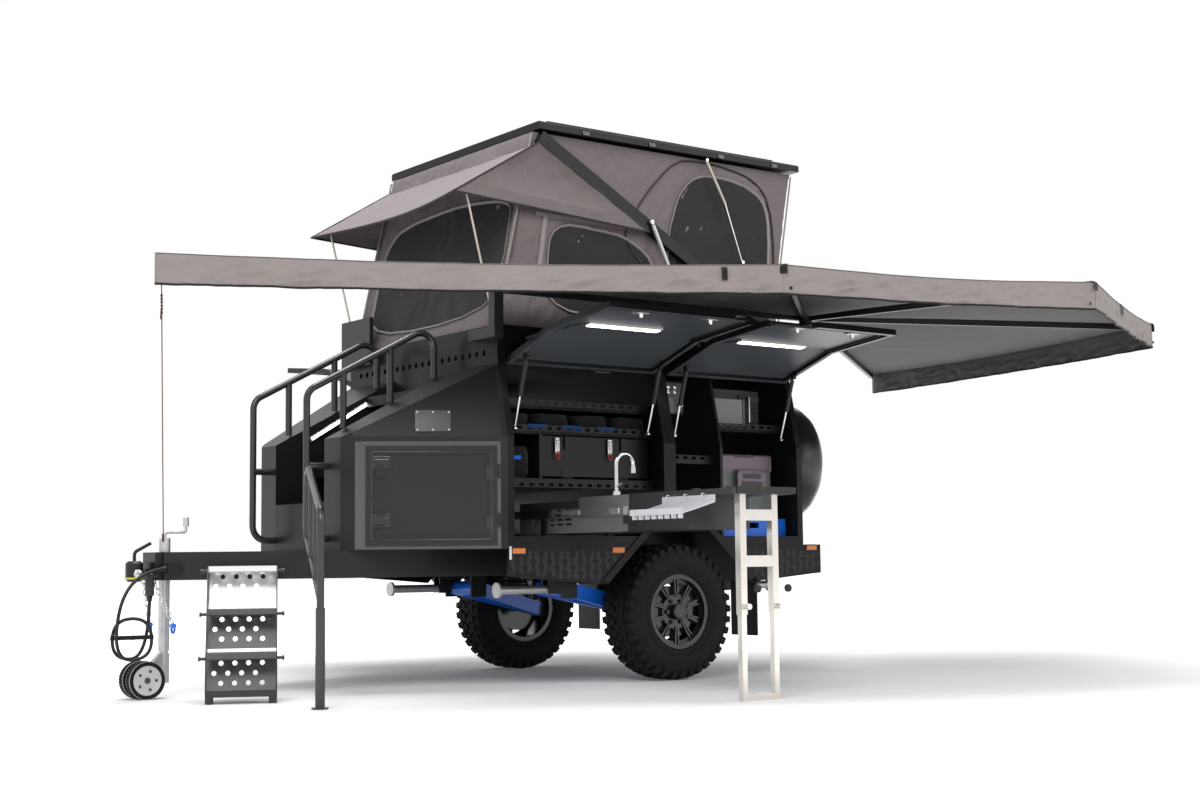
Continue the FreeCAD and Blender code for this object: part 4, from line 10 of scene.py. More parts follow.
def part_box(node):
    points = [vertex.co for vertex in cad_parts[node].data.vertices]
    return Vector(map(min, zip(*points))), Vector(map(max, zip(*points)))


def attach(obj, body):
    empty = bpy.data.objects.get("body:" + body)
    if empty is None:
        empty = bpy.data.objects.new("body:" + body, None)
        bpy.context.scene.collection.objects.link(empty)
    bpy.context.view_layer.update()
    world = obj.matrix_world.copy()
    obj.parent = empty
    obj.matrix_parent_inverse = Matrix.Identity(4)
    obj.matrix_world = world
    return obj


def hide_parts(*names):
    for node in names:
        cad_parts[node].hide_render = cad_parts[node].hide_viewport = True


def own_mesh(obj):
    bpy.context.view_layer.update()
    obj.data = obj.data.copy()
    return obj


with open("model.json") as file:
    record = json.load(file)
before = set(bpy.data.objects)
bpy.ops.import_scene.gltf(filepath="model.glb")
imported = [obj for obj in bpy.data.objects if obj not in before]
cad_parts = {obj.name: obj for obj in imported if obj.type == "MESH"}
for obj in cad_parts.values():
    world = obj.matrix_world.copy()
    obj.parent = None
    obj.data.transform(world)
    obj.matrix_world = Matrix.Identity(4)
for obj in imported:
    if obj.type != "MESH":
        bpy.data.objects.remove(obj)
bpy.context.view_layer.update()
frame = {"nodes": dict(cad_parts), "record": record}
cad = frame["nodes"]
record = frame["record"]


def at(x=0.0, y=0.0, z=0.0):
    return Vector((x, y, z))


# Points are typed from the axle and the ground, and moved here into the frame of the CAD
SHIFT = at(3.0, 0.0, -0.664)
X, Y, Z = at(1), at(0, 1), at(0, 0, 1)
SIDES = ((-1, "left"), (1, "right"))


def link(obj):
    bpy.context.scene.collection.objects.link(obj)
    return obj


# Camera
def make_camera():
    data = bpy.data.cameras.new("camera")
    data.sensor_width = 36.0
    data.lens = 52.02
    data.clip_end = 200.0
    obj = link(bpy.data.objects.new("camera", data))
    pitch, roll = radians(5.35), radians(0.63)
    level, right = at(0.6, 0.8), at(0.8, -0.6)
    ahead = level * cos(pitch) + Z * sin(pitch)
    above = Z * cos(pitch) - level * sin(pitch)
    side = right * cos(roll) - above * sin(roll)
    top = right * sin(roll) + above * cos(roll)
    turn = Matrix((side, top, -ahead)).transposed()
    obj.matrix_world = Matrix.Translation((-3.585, -8.944, 0.034)) @ turn.to_4x4()
    bpy.context.scene.camera = obj


make_camera()

# Materials, by name
paints = {}


def shaded(colour, factor):
    return tuple(min(1.0, c * factor) for c in colour) + (1.0,)


class Net:
    """Nodes of a material or of the world, with a short call for each kind that is used."""

    def __init__(self, tree):
        self.tree = tree

    def fill(self, sockets, values):
        for key, value in values.items():
            if isinstance(value, bpy.types.NodeSocket):
                self.tree.links.new(value, sockets[key])
            else:
                sockets[key].default_value = value

    def make(self, kind, inputs, out=0, **settings):
        made = self.tree.nodes.new("ShaderNode" + kind)
        for key, value in settings.items():
            setattr(made, key, value)
        self.fill(made.inputs, inputs)
        return made.outputs[out]

    def math(self, operation, a, b):
        return self.make("Math", {0: a, 1: b}, operation=operation)

    def vector(self, operation, a, b=(0.0, 0.0, 0.0), out=0):
        return self.make("VectorMath", {0: a, 1: b}, out, operation=operation)

    def part(self, vector, axis):
        return self.make("SeparateXYZ", {0: vector}, axis)

    def noise(self, place, scale, detail=2.0, rough=0.5, warp=0.0):
        return self.make("TexNoise", {"Vector": place, "Scale": scale, "Detail": detail, "Roughness": rough,
                                      "Distortion": warp})

    def bump(self, inputs):
        return self.make("Bump", inputs)

    def mix(self, factor, a, b):
        """Colour between two."""
        return self.make("Mix", {0: factor, 6: a, 7: b}, 2, data_type="RGBA")

    def level(self, factor, a, b):
        """Number between two."""
        return self.make("Mix", {0: factor, 2: a, 3: b})

    def tint(self, factor, colour, low, high):
        return self.mix(factor, shaded(colour, low), shaded(colour, high))

    def span(self, value, low, high, first, last, **settings):
        return self.make("MapRange", {0: value, 1: low, 2: high, 3: first, 4: last}, **settings)

    def zone(self, place, low, high, turn=None):
        """1 inside a box, 0 outside. turn is a turned box's corner and first level direction."""
        low, high = Vector(low), Vector(high)
        if turn:
            off = self.vector("SUBTRACT", place, Vector(turn[0]) + SHIFT)
            ax, ay = turn[1]
            parts = [self.vector("DOT_PRODUCT", off, way, 1) for way in ((ax, ay, 0.0), (ay, -ax, 0.0))]
            place = self.make("CombineXYZ", dict(enumerate(parts + [self.part(off, 2)])))
        else:
            low, high = low + SHIFT, high + SHIFT
        off = self.vector("ABSOLUTE", self.vector("SUBTRACT", place, (low + high) / 2))
        share = self.vector("DIVIDE", off, (high - low) / 2)
        most = self.math("MAXIMUM", self.part(share, 0), self.part(share, 1))
        return self.math("LESS_THAN", self.math("MAXIMUM", most, self.part(share, 2)), 1.0)


def start_material(name):
    paints[name] = made = bpy.data.materials.new(name)
    made.use_nodes = True
    net = Net(made.node_tree)
    return net, made.node_tree.nodes["Principled BSDF"].inputs, net.make("TexCoord", {}, "Object")


def hard(name, colour, rough, patch, grain, metal=0.0, vary=0.1, depth=0.0003, strength=0.25, specular=0.5,
         coat=0.0, stretch=None, dust=0.0, zones=(), turn=None, under=None):
    """Paint, plating, plastic or rubber: uneven colour and gloss in patches, and a fine grain in relief.

    dust is the share of it on the lowest parts, zones are boxes with a colour and gloss of their own, either the
    thing's own or painted shade, and under is a lighter colour painted on the faces that look down, a painted
    reflection.
    """
    net, shader, place = start_material(name)
    patches = net.noise(place, patch, 5.0, 0.6)
    fine = net.noise(net.vector("MULTIPLY", place, stretch) if stretch else place, grain, 3.0, 0.55)
    tint = net.tint(patches, colour, 1 - vary, 1 + vary)
    if dust:
        low = net.span(net.part(place, 2), -0.1, -0.62, 0.0, dust)
        tint = net.mix(net.math("MULTIPLY", low, patches), tint, (0.2, 0.185, 0.165, 1.0))
    # Painted reflection: faces that look down take the lighter under colour
    if under:
        down = net.math("LESS_THAN", net.part(net.make("TexCoord", {}, "Normal"), 2), -0.6)
        tint = net.mix(down, tint, under + (1.0,))
    spread = min(0.09, rough * 0.3)
    gloss = net.span(fine, 0.25, 0.75, rough - spread, rough + spread)
    shine = metal
    for low, high, own, own_rough, own_metal in zones:
        inside = net.zone(place, low, high, turn)
        tint = net.mix(inside, tint, net.tint(patches, own, 1 - vary, 1 + vary))
        gloss = net.level(inside, gloss, own_rough)
        shine = net.level(inside, shine, own_metal)
    relief = net.bump({"Height": fine, "Strength": strength, "Distance": depth})
    net.fill(shader, {"Base Color": tint, "Roughness": gloss, "Normal": relief, "Metallic": shine,
                      "Specular IOR Level": specular, "Coat Weight": coat})


def cloth(name, colour, rough, thread, crease=0.004, see=0.0):
    """Woven fabric: threads and creases in relief, uneven colour. see is the share that lets light by."""
    net, shader, place = start_material(name)
    patches = net.noise(place, 5.0, 6.0, 0.65)
    waves = [net.make("TexWave", {"Vector": place, "Scale": thread, "Distortion": 0.4}, 1, bands_direction=axis)
             for axis in "XYZ"]
    weave = net.math("ADD", net.math("MULTIPLY", waves[0], waves[1]), waves[2])
    wrinkles = net.noise(place, 7.0, 5.0, 0.55, 0.6)
    fold = net.bump({"Height": wrinkles, "Strength": 0.6, "Distance": crease})
    relief = net.bump({"Height": weave, "Strength": 0.3, "Distance": 0.0003, "Normal": fold})
    gloss = net.span(patches, 0.3, 0.7, rough - 0.06, min(1.0, rough + 0.06))
    net.fill(shader, {"Base Color": net.tint(patches, colour, 0.88, 1.12), "Roughness": gloss, "Normal": relief,
                      "Specular IOR Level": 0.2, "Sheen Weight": 0.15, "Alpha": 1.0 - see})


def lamp_face(name, colour, power):
    net, shader, place = start_material(name)
    tint = net.tint(net.noise(place, 60.0), colour, 0.85, 1.0)
    net.fill(shader, {"Base Color": tint, "Emission Color": tint, "Emission Strength": power, "Roughness": 0.4})


# Name, colour, roughness, patches and grain, for the record's slots
hard("black_steel", (0.011, 0.011, 0.012), 0.4, 4.0, 420.0, specular=0.3, dust=0.2)
hard("body_black", (0.007, 0.0075, 0.0085), 0.3, 1.6, 520.0, specular=0.17)
hard("body_graphite", (0.012, 0.012, 0.013), 0.4, 1.5, 420.0, specular=0.35)
hard("interior_black", (0.006, 0.006, 0.007), 0.4, 2.5, 500.0, specular=0.25)
hard("gunmetal", (0.045, 0.045, 0.048), 0.26, 5.0, 600.0, metal=0.45, specular=0.6)
hard("plate", (0.48, 0.48, 0.475), 0.4, 7.0, 300.0, metal=0.6, stretch=(1.0, 8.0, 1.0))
STEEL = (0.5, 0.5, 0.49)
hard("stainless", STEEL, 0.3, 5.0, 240.0, metal=0.9, stretch=(10.0, 1.0, 1.0))
hard("chrome", (0.62, 0.62, 0.63), 0.1, 9.0, 900.0, metal=1.0, strength=0.05)
hard("zinc", (0.5, 0.51, 0.52), 0.4, 22.0, 260.0, metal=0.7, vary=0.3)
hard("tyre_rubber", (0.008, 0.008, 0.0085), 0.7, 9.0, 500.0, vary=0.2, strength=0.5, depth=0.0006, specular=0.18,
     dust=0.03)
hard("rubber", (0.01, 0.01, 0.011), 0.5, 9.0, 600.0, specular=0.35)
hard("alloy_black", (0.006, 0.006, 0.0065), 0.2, 7.0, 600.0, coat=0.25)
hard("white_plastic", (0.62, 0.63, 0.66), 0.4, 9.0, 500.0, vary=0.05)
hard("grey_plastic", (0.03, 0.03, 0.033), 0.42, 9.0, 700.0, specular=0.35)
LID = ((0.43, -0.83, 1.252), (0.91, -0.17, 1.375))
hard("fridge_grey", (0.15, 0.165, 0.16), 0.5, 6.0, 700.0, zones=((*LID, (0.22, 0.165, 0.205), 0.42, 0.0),))
hard("slide_blue", (0.01, 0.165, 0.82), 0.32, 6.0, 500.0)
cloth("bag_black", (0.011, 0.011, 0.012), 0.8, 520.0, 0.003)
cloth("canvas_grey", (0.188, 0.16, 0.162), 0.8, 420.0, 0.028)
cloth("awning_grey", (0.285, 0.252, 0.242), 0.75, 420.0, 0.035)
hard("cover_black", (0.008, 0.008, 0.009), 0.22, 3.0, 120.0, depth=0.003, strength=0.5)
hard("arm_alloy", (0.03, 0.03, 0.032), 0.35, 5.0, 300.0, metal=0.5, stretch=(1.0, 9.0, 1.0))

# The same for single pieces
# Painted shade: the awning's underside is coloured much darker than its top
cloth("awning_underside_painted_shade", (0.105, 0.1, 0.098), 0.8, 420.0, 0.008)
lamp_face("led_face", (0.93, 0.96, 1.0), 6.0)
hard("amber_lens", (0.75, 0.2, 0.01), 0.12, 60.0, 90.0, depth=0.001, coat=0.6)
hard("red_part", (0.5, 0.02, 0.015), 0.3, 9.0, 600.0)
cloth("blue_web", (0.012, 0.19, 0.88), 0.7, 300.0)
cloth("black_web", (0.012, 0.012, 0.013), 0.8, 300.0)
cloth("black_mesh", (0.022, 0.023, 0.024), 0.7, 600.0, see=0.15)
cloth("grey_piping", (0.3, 0.28, 0.275), 0.8, 500.0)
cloth("dark_trim", (0.035, 0.032, 0.032), 0.8, 500.0)
cloth("brown_cord", (0.11, 0.03, 0.015), 0.8, 400.0)
hard("cream_pole", (0.5, 0.46, 0.4), 0.35, 12.0, 300.0, metal=0.3)
hard("leg_alloy", (0.74, 0.705, 0.66), 0.16, 2.0, 120.0, metal=0.75, vary=0.04, depth=0.0001, strength=0.05,
     stretch=(1.0, 1.0, 0.05))
hard("screen_glass", (0.02, 0.03, 0.04), 0.1, 30.0, 900.0, strength=0.02, coat=1.0)
hard("oven_glass", (0.15, 0.15, 0.153), 0.12, 9.0, 900.0, strength=0.02, coat=1.0)
hard("mauve_plastic", (0.22, 0.155, 0.195), 0.42, 9.0, 700.0)
hard("coupling_grey", (0.1, 0.105, 0.11), 0.35, 12.0, 400.0, metal=0.7)
hard("yellow_edge", (0.6, 0.57, 0.04), 0.4, 12.0, 500.0)
# Hatch paint with a lighter colour on its faces that look down: a painted reflection on the glossy black inside
hard("hatch_paint_and_underside_reflection", (0.007, 0.0075, 0.0085), 0.3, 1.6, 520.0, specular=0.17, under=(0.075, 0.083, 0.092))
hard("nose_paint", (0.01, 0.01, 0.0105), 0.4, 1.5, 420.0, specular=0.3)
hard("frame_paint", (0.085, 0.085, 0.087), 0.42, 3.0, 420.0)
hard("bright_steel", (0.62, 0.62, 0.61), 0.25, 9.0, 500.0, metal=0.85, strength=0.1)
hard("black_gloss", (0.007, 0.007, 0.008), 0.18, 6.0, 600.0, coat=0.3)
hard("jockey_faces", (0.6, 0.61, 0.62), 0.35, 12.0, 400.0)

# Steps, seen from their corner at the drawbar: lower treads darkened as painted shade, and dark side plates and feet
STEPS_AT, DARK = ((-2.659, -0.2057, 0.0), (0.8984, -0.4392)), (0.022, 0.022, 0.023)
hard("steps_metal_and_painted_shade", (0.76, 0.76, 0.75), 0.36, 7.0, 300.0, metal=0.5, turn=STEPS_AT, zones=(
    # Painted shade: the lower treads are coloured darker than the top one, for the shade they lie in
    ((-0.02, 0.0, 0.0), (0.37, 0.7, 0.492), (0.085, 0.085, 0.087), 0.33, 0.4),
    ((-0.1, -0.1, 0.0), (0.0, 0.7, 0.8), DARK, 0.35, 0.2),
    ((0.35, -0.1, 0.0), (0.5, 0.7, 0.8), DARK, 0.35, 0.2),
    ((-0.1, -0.1, 0.0), (0.5, 0.7, 0.062), DARK, 0.45, 0.0)))

# Kitchen, with its steel bench, its slide and its drawer's side
hard("kitchen_metal", (0.019, 0.019, 0.021), 0.3, 5.0, 300.0, zones=(
    ((-0.901, -1.611, 0.925), (-0.48, -1.16, 1.07), STEEL, 0.25, 0.9),
    ((-0.916, -1.6, 0.95), (-0.8995, -0.53, 0.998), STEEL, 0.25, 0.9),
    ((-0.905, -1.6, 0.855), (-0.889, -0.53, 0.951), (0.2, 0.2, 0.2), 0.35, 0.5)))


# Paths and outlines
def turns(count):
    return [2 * pi * k / count for k in range(count)]


def ring(mid, a, b, count):
    """Points round an ellipse with the half axes a and b."""
    return [mid + a * cos(t) + b * sin(t) for t in turns(count)]


def spoke(turn):
    """Direction out from the axle of a wheel, and the one round it."""
    return at(cos(turn), 0.0, sin(turn)), at(-sin(turn), 0.0, cos(turn))


def rectangle(a0, b0, a1, b1):
    return [(a0, b0), (a1, b0), (a1, b1), (a0, b1)]


def pairs(outline):
    """Each corner of a closed outline with the next one."""
    return zip(outline, outline[1:] + outline[:1])


def looped(corners, gap):
    """Closed path through corners, with a point near both ends of each side and one in its middle."""
    return [p.lerp(q, t) for p, q in pairs(corners) for t in (gap, 0.5, 1 - gap)]


def headings(path, closed):
    """Direction of a path at each of its points."""
    n = len(path)
    made = []
    for i, p in enumerate(path):
        before = path[i - 1] if closed or i else p
        after = path[(i + 1) % n] if closed or i < n - 1 else p
        made.append((after - before).normalized())
    return made


def bent(points, radius, steps):
    """Path with its inner corners rounded."""
    points = [Vector(p) for p in points]
    path = [points[0]]
    for before, corner, after in zip(points, points[1:], points[2:]):
        a = corner + (before - corner).normalized() * min(radius, (before - corner).length / 2)
        b = corner + (after - corner).normalized() * min(radius, (after - corner).length / 2)
        for k in range(steps + 1):
            t = k / steps
            path.append(a * (1 - t) ** 2 + corner * 2 * t * (1 - t) + b * t ** 2)
    return path + points[-1:]


def rounded(outline):
    """Closed outline with its corners cut off twice."""
    for _ in range(2):
        cut = []
        for (a, b), (c, d) in pairs(outline):
            cut += [(a * 0.75 + c * 0.25, b * 0.75 + d * 0.25), (a * 0.25 + c * 0.75, b * 0.25 + d * 0.75)]
        outline = cut
    return outline


def dense(outline, step=0.03):
    made = []
    for (a, b), (c, d) in pairs(outline):
        count = max(1, int(hypot(c - a, d - b) / step))
        made += [(a + (c - a) * k / count, b + (d - b) * k / count) for k in range(count)]
    return made


def waver(p, scale, seed=0.0):
    return noise.noise(Vector(p) * scale + at(seed, seed * 1.7, seed * 2.3))


def smooth(t):
    t = max(0.0, min(1.0, t))
    return t * t * (3 - 2 * t)


class Shape:
    """Points from the axle and the ground, in metres, and faces."""

    def __init__(self):
        self.points, self.faces = [], []

    def add(self, points, faces):
        base = len(self.points)
        self.points += [Vector(p) for p in points]
        self.faces += [tuple(base + i for i in face) for face in faces]
        return self

    def skin(self, rings, closed=False, foot=True):
        """Skin over rings of as many points each, with both ends capped, or the first joined to the last."""
        n, count = len(rings[0]), len(rings)
        faces = []
        for i in range(count if closed else count - 1):
            a, b = i * n, (i + 1) % count * n
            faces += [(a + k, a + (k + 1) % n, b + (k + 1) % n, b + k) for k in range(n)]
        if foot and not closed:
            faces.append(tuple(reversed(range(n))))
        if not closed:
            faces.append(tuple(range((count - 1) * n, count * n)))
        return self.add([p for ring in rings for p in ring], faces)

    def stud(self, foot, top):
        """Raised block, open where it stands."""
        return self.skin([foot, top], foot=False)

    def prism(self, outline, push):
        """Closed outline of points, pushed along a vector."""
        return self.skin([[Vector(p) for p in outline], [Vector(p) + push for p in outline]])

    def box(self, low, high):
        outline = [at(x, y, low[2]) for x, y in rectangle(low[0], low[1], high[0], high[1])]
        return self.prism(outline, Z * (high[2] - low[2]))

    def tube(self, path, radius, sides=10, closed=False, flat=1.0):
        """Round or flattened section carried along a path."""
        path = [Vector(p) for p in path]
        rings, side, before = [], None, None
        for p, along in zip(path, headings(path, closed)):
            if side is None:
                side = along.orthogonal().normalized()
            else:
                side = before.rotation_difference(along) @ side
                side = (side - along * side.dot(along)).normalized()
            before = along
            rings.append(ring(p, side * radius, along.cross(side) * radius * flat, sides))
        return self.skin(rings, closed)

    def ribbon(self, path, width, thick=0.003, closed=False):
        """Flat strap along a path. width is a vector across it, the same all along."""
        path, half = [Vector(p) for p in path], Vector(width) / 2
        rings = []
        for p, along in zip(path, headings(path, closed)):
            out = along.cross(half).normalized() * (thick / 2)
            rings.append([p - half - out, p + half - out, p + half + out, p - half + out])
        return self.skin(rings, closed)

    def lathe(self, profile, centre, axis, count=48, closed=False, start=None):
        """Profile of (along the axis, radius) turned round the axis."""
        centre, axis = Vector(centre), Vector(axis).normalized()
        side = start or axis.orthogonal().normalized()
        outs = ring(at(), side, axis.cross(side), count)
        n = len(profile)
        faces = []
        for k in range(count):
            a, b = k * n, (k + 1) % count * n
            faces += [(a + i, a + i + 1, b + i + 1, b + i) for i in range(n - 1)]
            if closed:
                faces.append((a + n - 1, a, b, b + n - 1))
        if not closed:
            if profile[0][1] > 1e-6:
                faces.append(tuple(k * n for k in range(count)))
            if profile[-1][1] > 1e-6:
                faces.append(tuple(k * n + n - 1 for k in reversed(range(count))))
        return self.add([centre + axis * along + out * radius for out in outs for along, radius in profile], faces)

    def sheet(self, place, across, along):
        """Grid of points place(s, t), with s and t from 0 to 1."""
        points = [place(i / across, j / along) for j in range(along + 1) for i in range(across + 1)]
        w = across + 1
        return self.add(points, [(j * w + i, j * w + i + 1, (j + 1) * w + i + 1, (j + 1) * w + i)
                                 for j in range(along) for i in range(across)])

    def patch(self, outline, place, rings=8):
        """Panel inside an outline of pairs, laid on the surface place(a, b)."""
        n = len(outline)
        mid = Vector([sum(part) / n for part in zip(*outline)])
        points = [place(*mid)]
        for k in range(1, rings + 1):
            points += [place(*mid.lerp(Vector(p), k / rings)) for p in outline]
        faces = []
        for i in range(n):
            j = (i + 1) % n
            faces.append((0, 1 + i, 1 + j))
            for a in range(1, 1 + (rings - 1) * n, n):
                faces.append((a + i, a + n + i, a + n + j, a + j))
        return self.add(points, faces)

    def pad(self, centre, size, thick, corner=0.3, across=X, up=Z):
        """Plate with round corners, size (wide, high), its edge rounded towards the outside."""
        across, up = Vector(across).normalized(), Vector(up).normalized()
        out = across.cross(up)
        w, h = size[0] / 2, size[1] / 2
        r = min(w, h) * corner
        steps = 5
        rings = []
        for grow, rise in ((0.0, 0.0), (0.0, thick * 0.7), (-thick * 0.35, thick)):
            mid = Vector(centre) + out * rise
            edge = []
            for quarter, (a, b) in enumerate(((1, 1), (-1, 1), (-1, -1), (1, -1))):
                for k in range(steps + 1):
                    t = pi / 2 * (quarter + k / steps)
                    edge.append(mid + across * (a * (w - r) + (r + grow) * cos(t))
                                + up * (b * (h - r) + (r + grow) * sin(t)))
            rings.append(edge)
        return self.skin(rings)

    def bolt(self, place, axis, radius, height):
        """Hexagonal head on a washer."""
        self.lathe([(0.0, radius * 1.35), (height * 0.25, radius * 1.35), (height * 0.25, radius)], place, axis, 12)
        return self.lathe([(0.0, radius), (height * 0.8, radius), (height, radius * 0.75)], place, axis, 6)


def shapes(count):
    return (Shape() for _ in range(count))


def piece(name, shape, body, finish, bevel=0.0, angle=35.0, weld=False, painted_shade_back=None):
    """Object from a shape, with the finish as its material, set on a body."""
    mesh = bpy.data.meshes.new(name)
    mesh.from_pydata([p + SHIFT for p in shape.points], [], shape.faces)
    mesh.validate()
    work = bmesh.new()
    work.from_mesh(mesh)
    if weld:
        bmesh.ops.remove_doubles(work, verts=work.verts, dist=0.0004)
    bmesh.ops.recalc_face_normals(work, faces=work.faces)
    work.to_mesh(mesh)
    work.free()
    mesh.shade_smooth()
    mesh.set_sharp_from_angle(angle=radians(angle))
    obj = link(bpy.data.objects.new(name, mesh))
    mesh.materials.append(paints[finish])
    # Painted shade: a thin second skin behind the sheet carries the darker back colour
    if painted_shade_back:
        if sum(face.normal.z * face.area for face in mesh.polygons) < 0:
            mesh.flip_normals()
        mesh.materials.append(paints[painted_shade_back])
        back = obj.modifiers.new("back", "SOLIDIFY")
        back.thickness = 0.0015
        back.material_offset = 1
    if bevel:
        cut = obj.modifiers.new("edges", "BEVEL")
        cut.width = bevel
        cut.segments = 2
        cut.limit_method = "ANGLE"
        cut.harden_normals = True
    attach(obj, body)
    return obj


# Finishes of the CAD's own pieces: the record's slots, apart from these
OWN = {"trailing_arms": "slide_blue", "folding_steps": "steps_metal_and_painted_shade", "kitchen_unit": "kitchen_metal",
       "kitchen_leg": "leg_alloy", "jockey_wheels": "jockey_faces", "nose_lockers": "nose_paint"}
OWN.update(("hatch_" + name, "hatch_paint_and_underside_reflection") for name in ("front_left", "front_right", "rear_left", "rear_right"))
slots = {part["node"]: part["material_slot"] for part in record["subparts"]}
for name, obj in cad.items():
    obj.data.materials.clear()
    obj.data.materials.append(paints[OWN.get(name, slots[name])])

# Trailer's lead, close to its route in the source, and what is on it. Its points are from the frame's zero
LEAD = ((0.116, -0.14, 0.026), (-0.125, -0.203, 0.01), (-0.204, -0.212, -0.444), (0.024, -0.2, -0.444),
        (0.02, -0.188, -0.232), (-0.185, -0.184, -0.232), (-0.185, -0.174, -0.442), (0.045, -0.104, -0.442),
        (0.045, -0.104, -0.116))
LEAD_D, LEAD_LENGTH = 0.018, 1.74
TIE_X, TIE_Z = -3.185, 0.334


def lead():
    curve = bpy.data.curves.new("cable_lead", "CURVE")
    curve.dimensions = "3D"
    curve.resolution_u = 16
    line = curve.splines.new("NURBS")
    line.points.add(len(LEAD) - 1)
    for point, place in zip(line.points, LEAD):
        point.co = (*place, 1.0)
    line.order_u = 3
    line.use_endpoint_u = True
    obj = link(bpy.data.objects.new("cable_lead", curve))
    bare = bpy.data.meshes.new_from_object(obj)
    run = [v.co - SHIFT for v in bare.vertices]
    bpy.data.meshes.remove(bare)
    curve.bevel_depth = LEAD_D / 2
    curve.bevel_resolution = 5
    curve.use_fill_caps = True
    curve.materials.append(paints["rubber"])
    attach(obj, "frame")
    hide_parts("cable")
    return obj, run


def lead_pieces(run):
    """Tapered sleeve at the box, collar at the plug, and the tie that holds the loop to the hanging run."""
    sleeve = Shape()
    profile = [(-0.004, 0.017), (0.004, 0.017), (0.006, 0.0155)]
    for k in range(4):
        along, radius = 0.008 + k * 0.01, 0.015 - k * 0.0011
        profile += [(along, radius), (along + 0.006, radius - 0.0006), (along + 0.0065, radius - 0.002),
                    (along + 0.0095, radius - 0.0022)]
    sleeve.lathe(profile + [(0.05, 0.0098)], run[0], run[3] - run[0], 28)
    collar = [(-0.03, 0.0098), (-0.028, 0.0125), (-0.006, 0.015), (0.0, 0.017), (0.002, 0.02)]
    sleeve.lathe(collar, run[-1], Z, 28)
    half = len(run) // 2
    a = min(run[:half], key=lambda p: abs(p.z - TIE_Z))
    b = min(run[half:], key=lambda p: abs(p.z - TIE_Z) + abs(p.x - TIE_X))
    mid, along = (a + b) / 2, at(b.x - a.x, b.y - a.y).normalized()
    side = at(-along.y, along.x)
    reach, r = (b - a).length / 2, LEAD_D / 2 + 0.0012
    mid.z = TIE_Z
    loop = []
    for sign in (1, -1):
        for k in range(9):
            t = pi * (k / 8 - 0.5)
            loop.append(mid + along * sign * (reach + r * cos(t)) + side * sign * r * sin(t))
    strap = Shape().ribbon(loop, Z * 0.022, 0.0024, closed=True)
    strap.pad(mid + side * (r + 0.001), (0.024, 0.024), 0.004, across=along)
    return [piece("lead_sleeves", sleeve, "frame", "rubber", angle=30),
            piece("lead_tie", strap, "frame", "black_web", angle=50)]


cable, cable_run = lead()
lead_pieces(cable_run) + [cad["cable_plug"]]

# Wheels
TYRE_R, SEAT_R, WHEEL_Y = 0.402, 0.221, 0.81

# Section of half a tyre, as (metres from its middle, radius)
TYRE = [(0.116, SEAT_R), (0.126, 0.226), (0.131, 0.245), (0.1335, 0.262), (0.1325, 0.268), (0.1345, 0.272),
        (0.135, 0.3), (0.1335, 0.33), (0.13, 0.352), (0.1225, 0.368), (0.11, 0.38), (0.085, 0.386),
        (0.045, 0.389), (0.0, 0.39)]

# Blocks of the tread: radius of the foot, and outline in (block lengths round the wheel, metres from the middle)
TREAD = ((0.385, ((0.0, 0.004), (0.55, 0.004), (0.72, 0.02), (0.95, 0.04), (0.45, 0.042), (0.12, 0.026))),
         (0.383, ((0.3, 0.05), (1.0, 0.047), (1.1, 0.068), (0.85, 0.084), (0.2, 0.082))),
         (0.374, ((-0.02, 0.092), (0.72, 0.094), (0.82, 0.11), (0.72, 0.134), (0.06, 0.134), (0.1, 0.112))))


def tyre(side, name):
    centre = at(0.0, side * WHEEL_Y, TYRE_R)
    shell = Shape()
    profile = [(-y, r) for y, r in TYRE] + TYRE[-2::-1] + [(0.11, SEAT_R + 0.004), (-0.11, SEAT_R + 0.004)]
    shell.lathe(profile, centre, Y, 96, closed=True, start=Z)

    def spot(turn, r, y):
        return centre + at(sin(turn) * r, y, cos(turn) * r)

    def lug(outline, angle, foot):
        mid_u, mid_y = (sum(part) / len(outline) for part in zip(*outline))
        ends = []
        for r, k in ((foot, 1.0), (TYRE_R, 0.9)):
            ends.append([])
            for u, y in outline:
                wide = mid_y + (y - mid_y) * k
                drop = max(0.0, abs(wide) - 0.085) * 0.28
                ends[-1].append(spot(angle + (mid_u + (u - mid_u) * k) / TYRE_R, r - drop, wide))
        shell.stud(*ends)

    count = 36
    pitch = 2 * pi * TYRE_R / count
    for k, a in enumerate(turns(count)):
        w = pitch * (0.8 + 0.03 * (k % 3))
        low = 0.368 - (0.024 if k % 2 else 0.012)
        for s in (-1, 1):
            shift = 0.0 if s > 0 else pitch / 2
            for foot, outline in TREAD:
                lug([(shift + w * u, s * y) for u, y in outline][::s], a, foot)
            # Rib on the shoulder
            ends = []
            for out in (-0.002, 0.004):
                ends.append([])
                for u, r in ((-0.3, low), (0.3, low), (0.33, 0.38), (-0.33, 0.38)):
                    face = 0.1315 - max(0.0, r - 0.345) * 0.16
                    ends[-1].append(spot(a + (shift + w * (0.38 + u)) / TYRE_R, r, s * (face + out)))
            shell.stud(*ends)
    # Short bars round the bead
    bar = ((-0.004, 0.249), (0.004, 0.249), (0.007, 0.262), (-0.001, 0.262))
    for a in turns(72):
        for s in (-1, 1):
            shell.stud(*([spot(a + u / r, r, s * y) for u, r in bar] for y in (0.1325, 0.1352)))
    made = piece("tread_tyre_" + name, shell, "wheel_" + name, "tyre_rubber", angle=28)
    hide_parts("tyre_" + name)


for side, name in SIDES:
    tyre(side, name)

# Roof tent
TENT_HALF, TENT_LOW, TENT_TOP = 0.806, 1.952, 3.196
TRAY_TOP, KNEE = 2.042, 2.606


def tent_side_x(z):
    """Front and rear edge of the tent's side wall at a height."""
    if z < KNEE:
        rear = 0.942 + 0.037 * smooth((z - TRAY_TOP) / 0.564)
    else:
        rear = 0.979 + 0.108 * (z - KNEE) / 0.6
    return -1.214 + (z - TRAY_TOP) / 1.15 * 0.262, rear


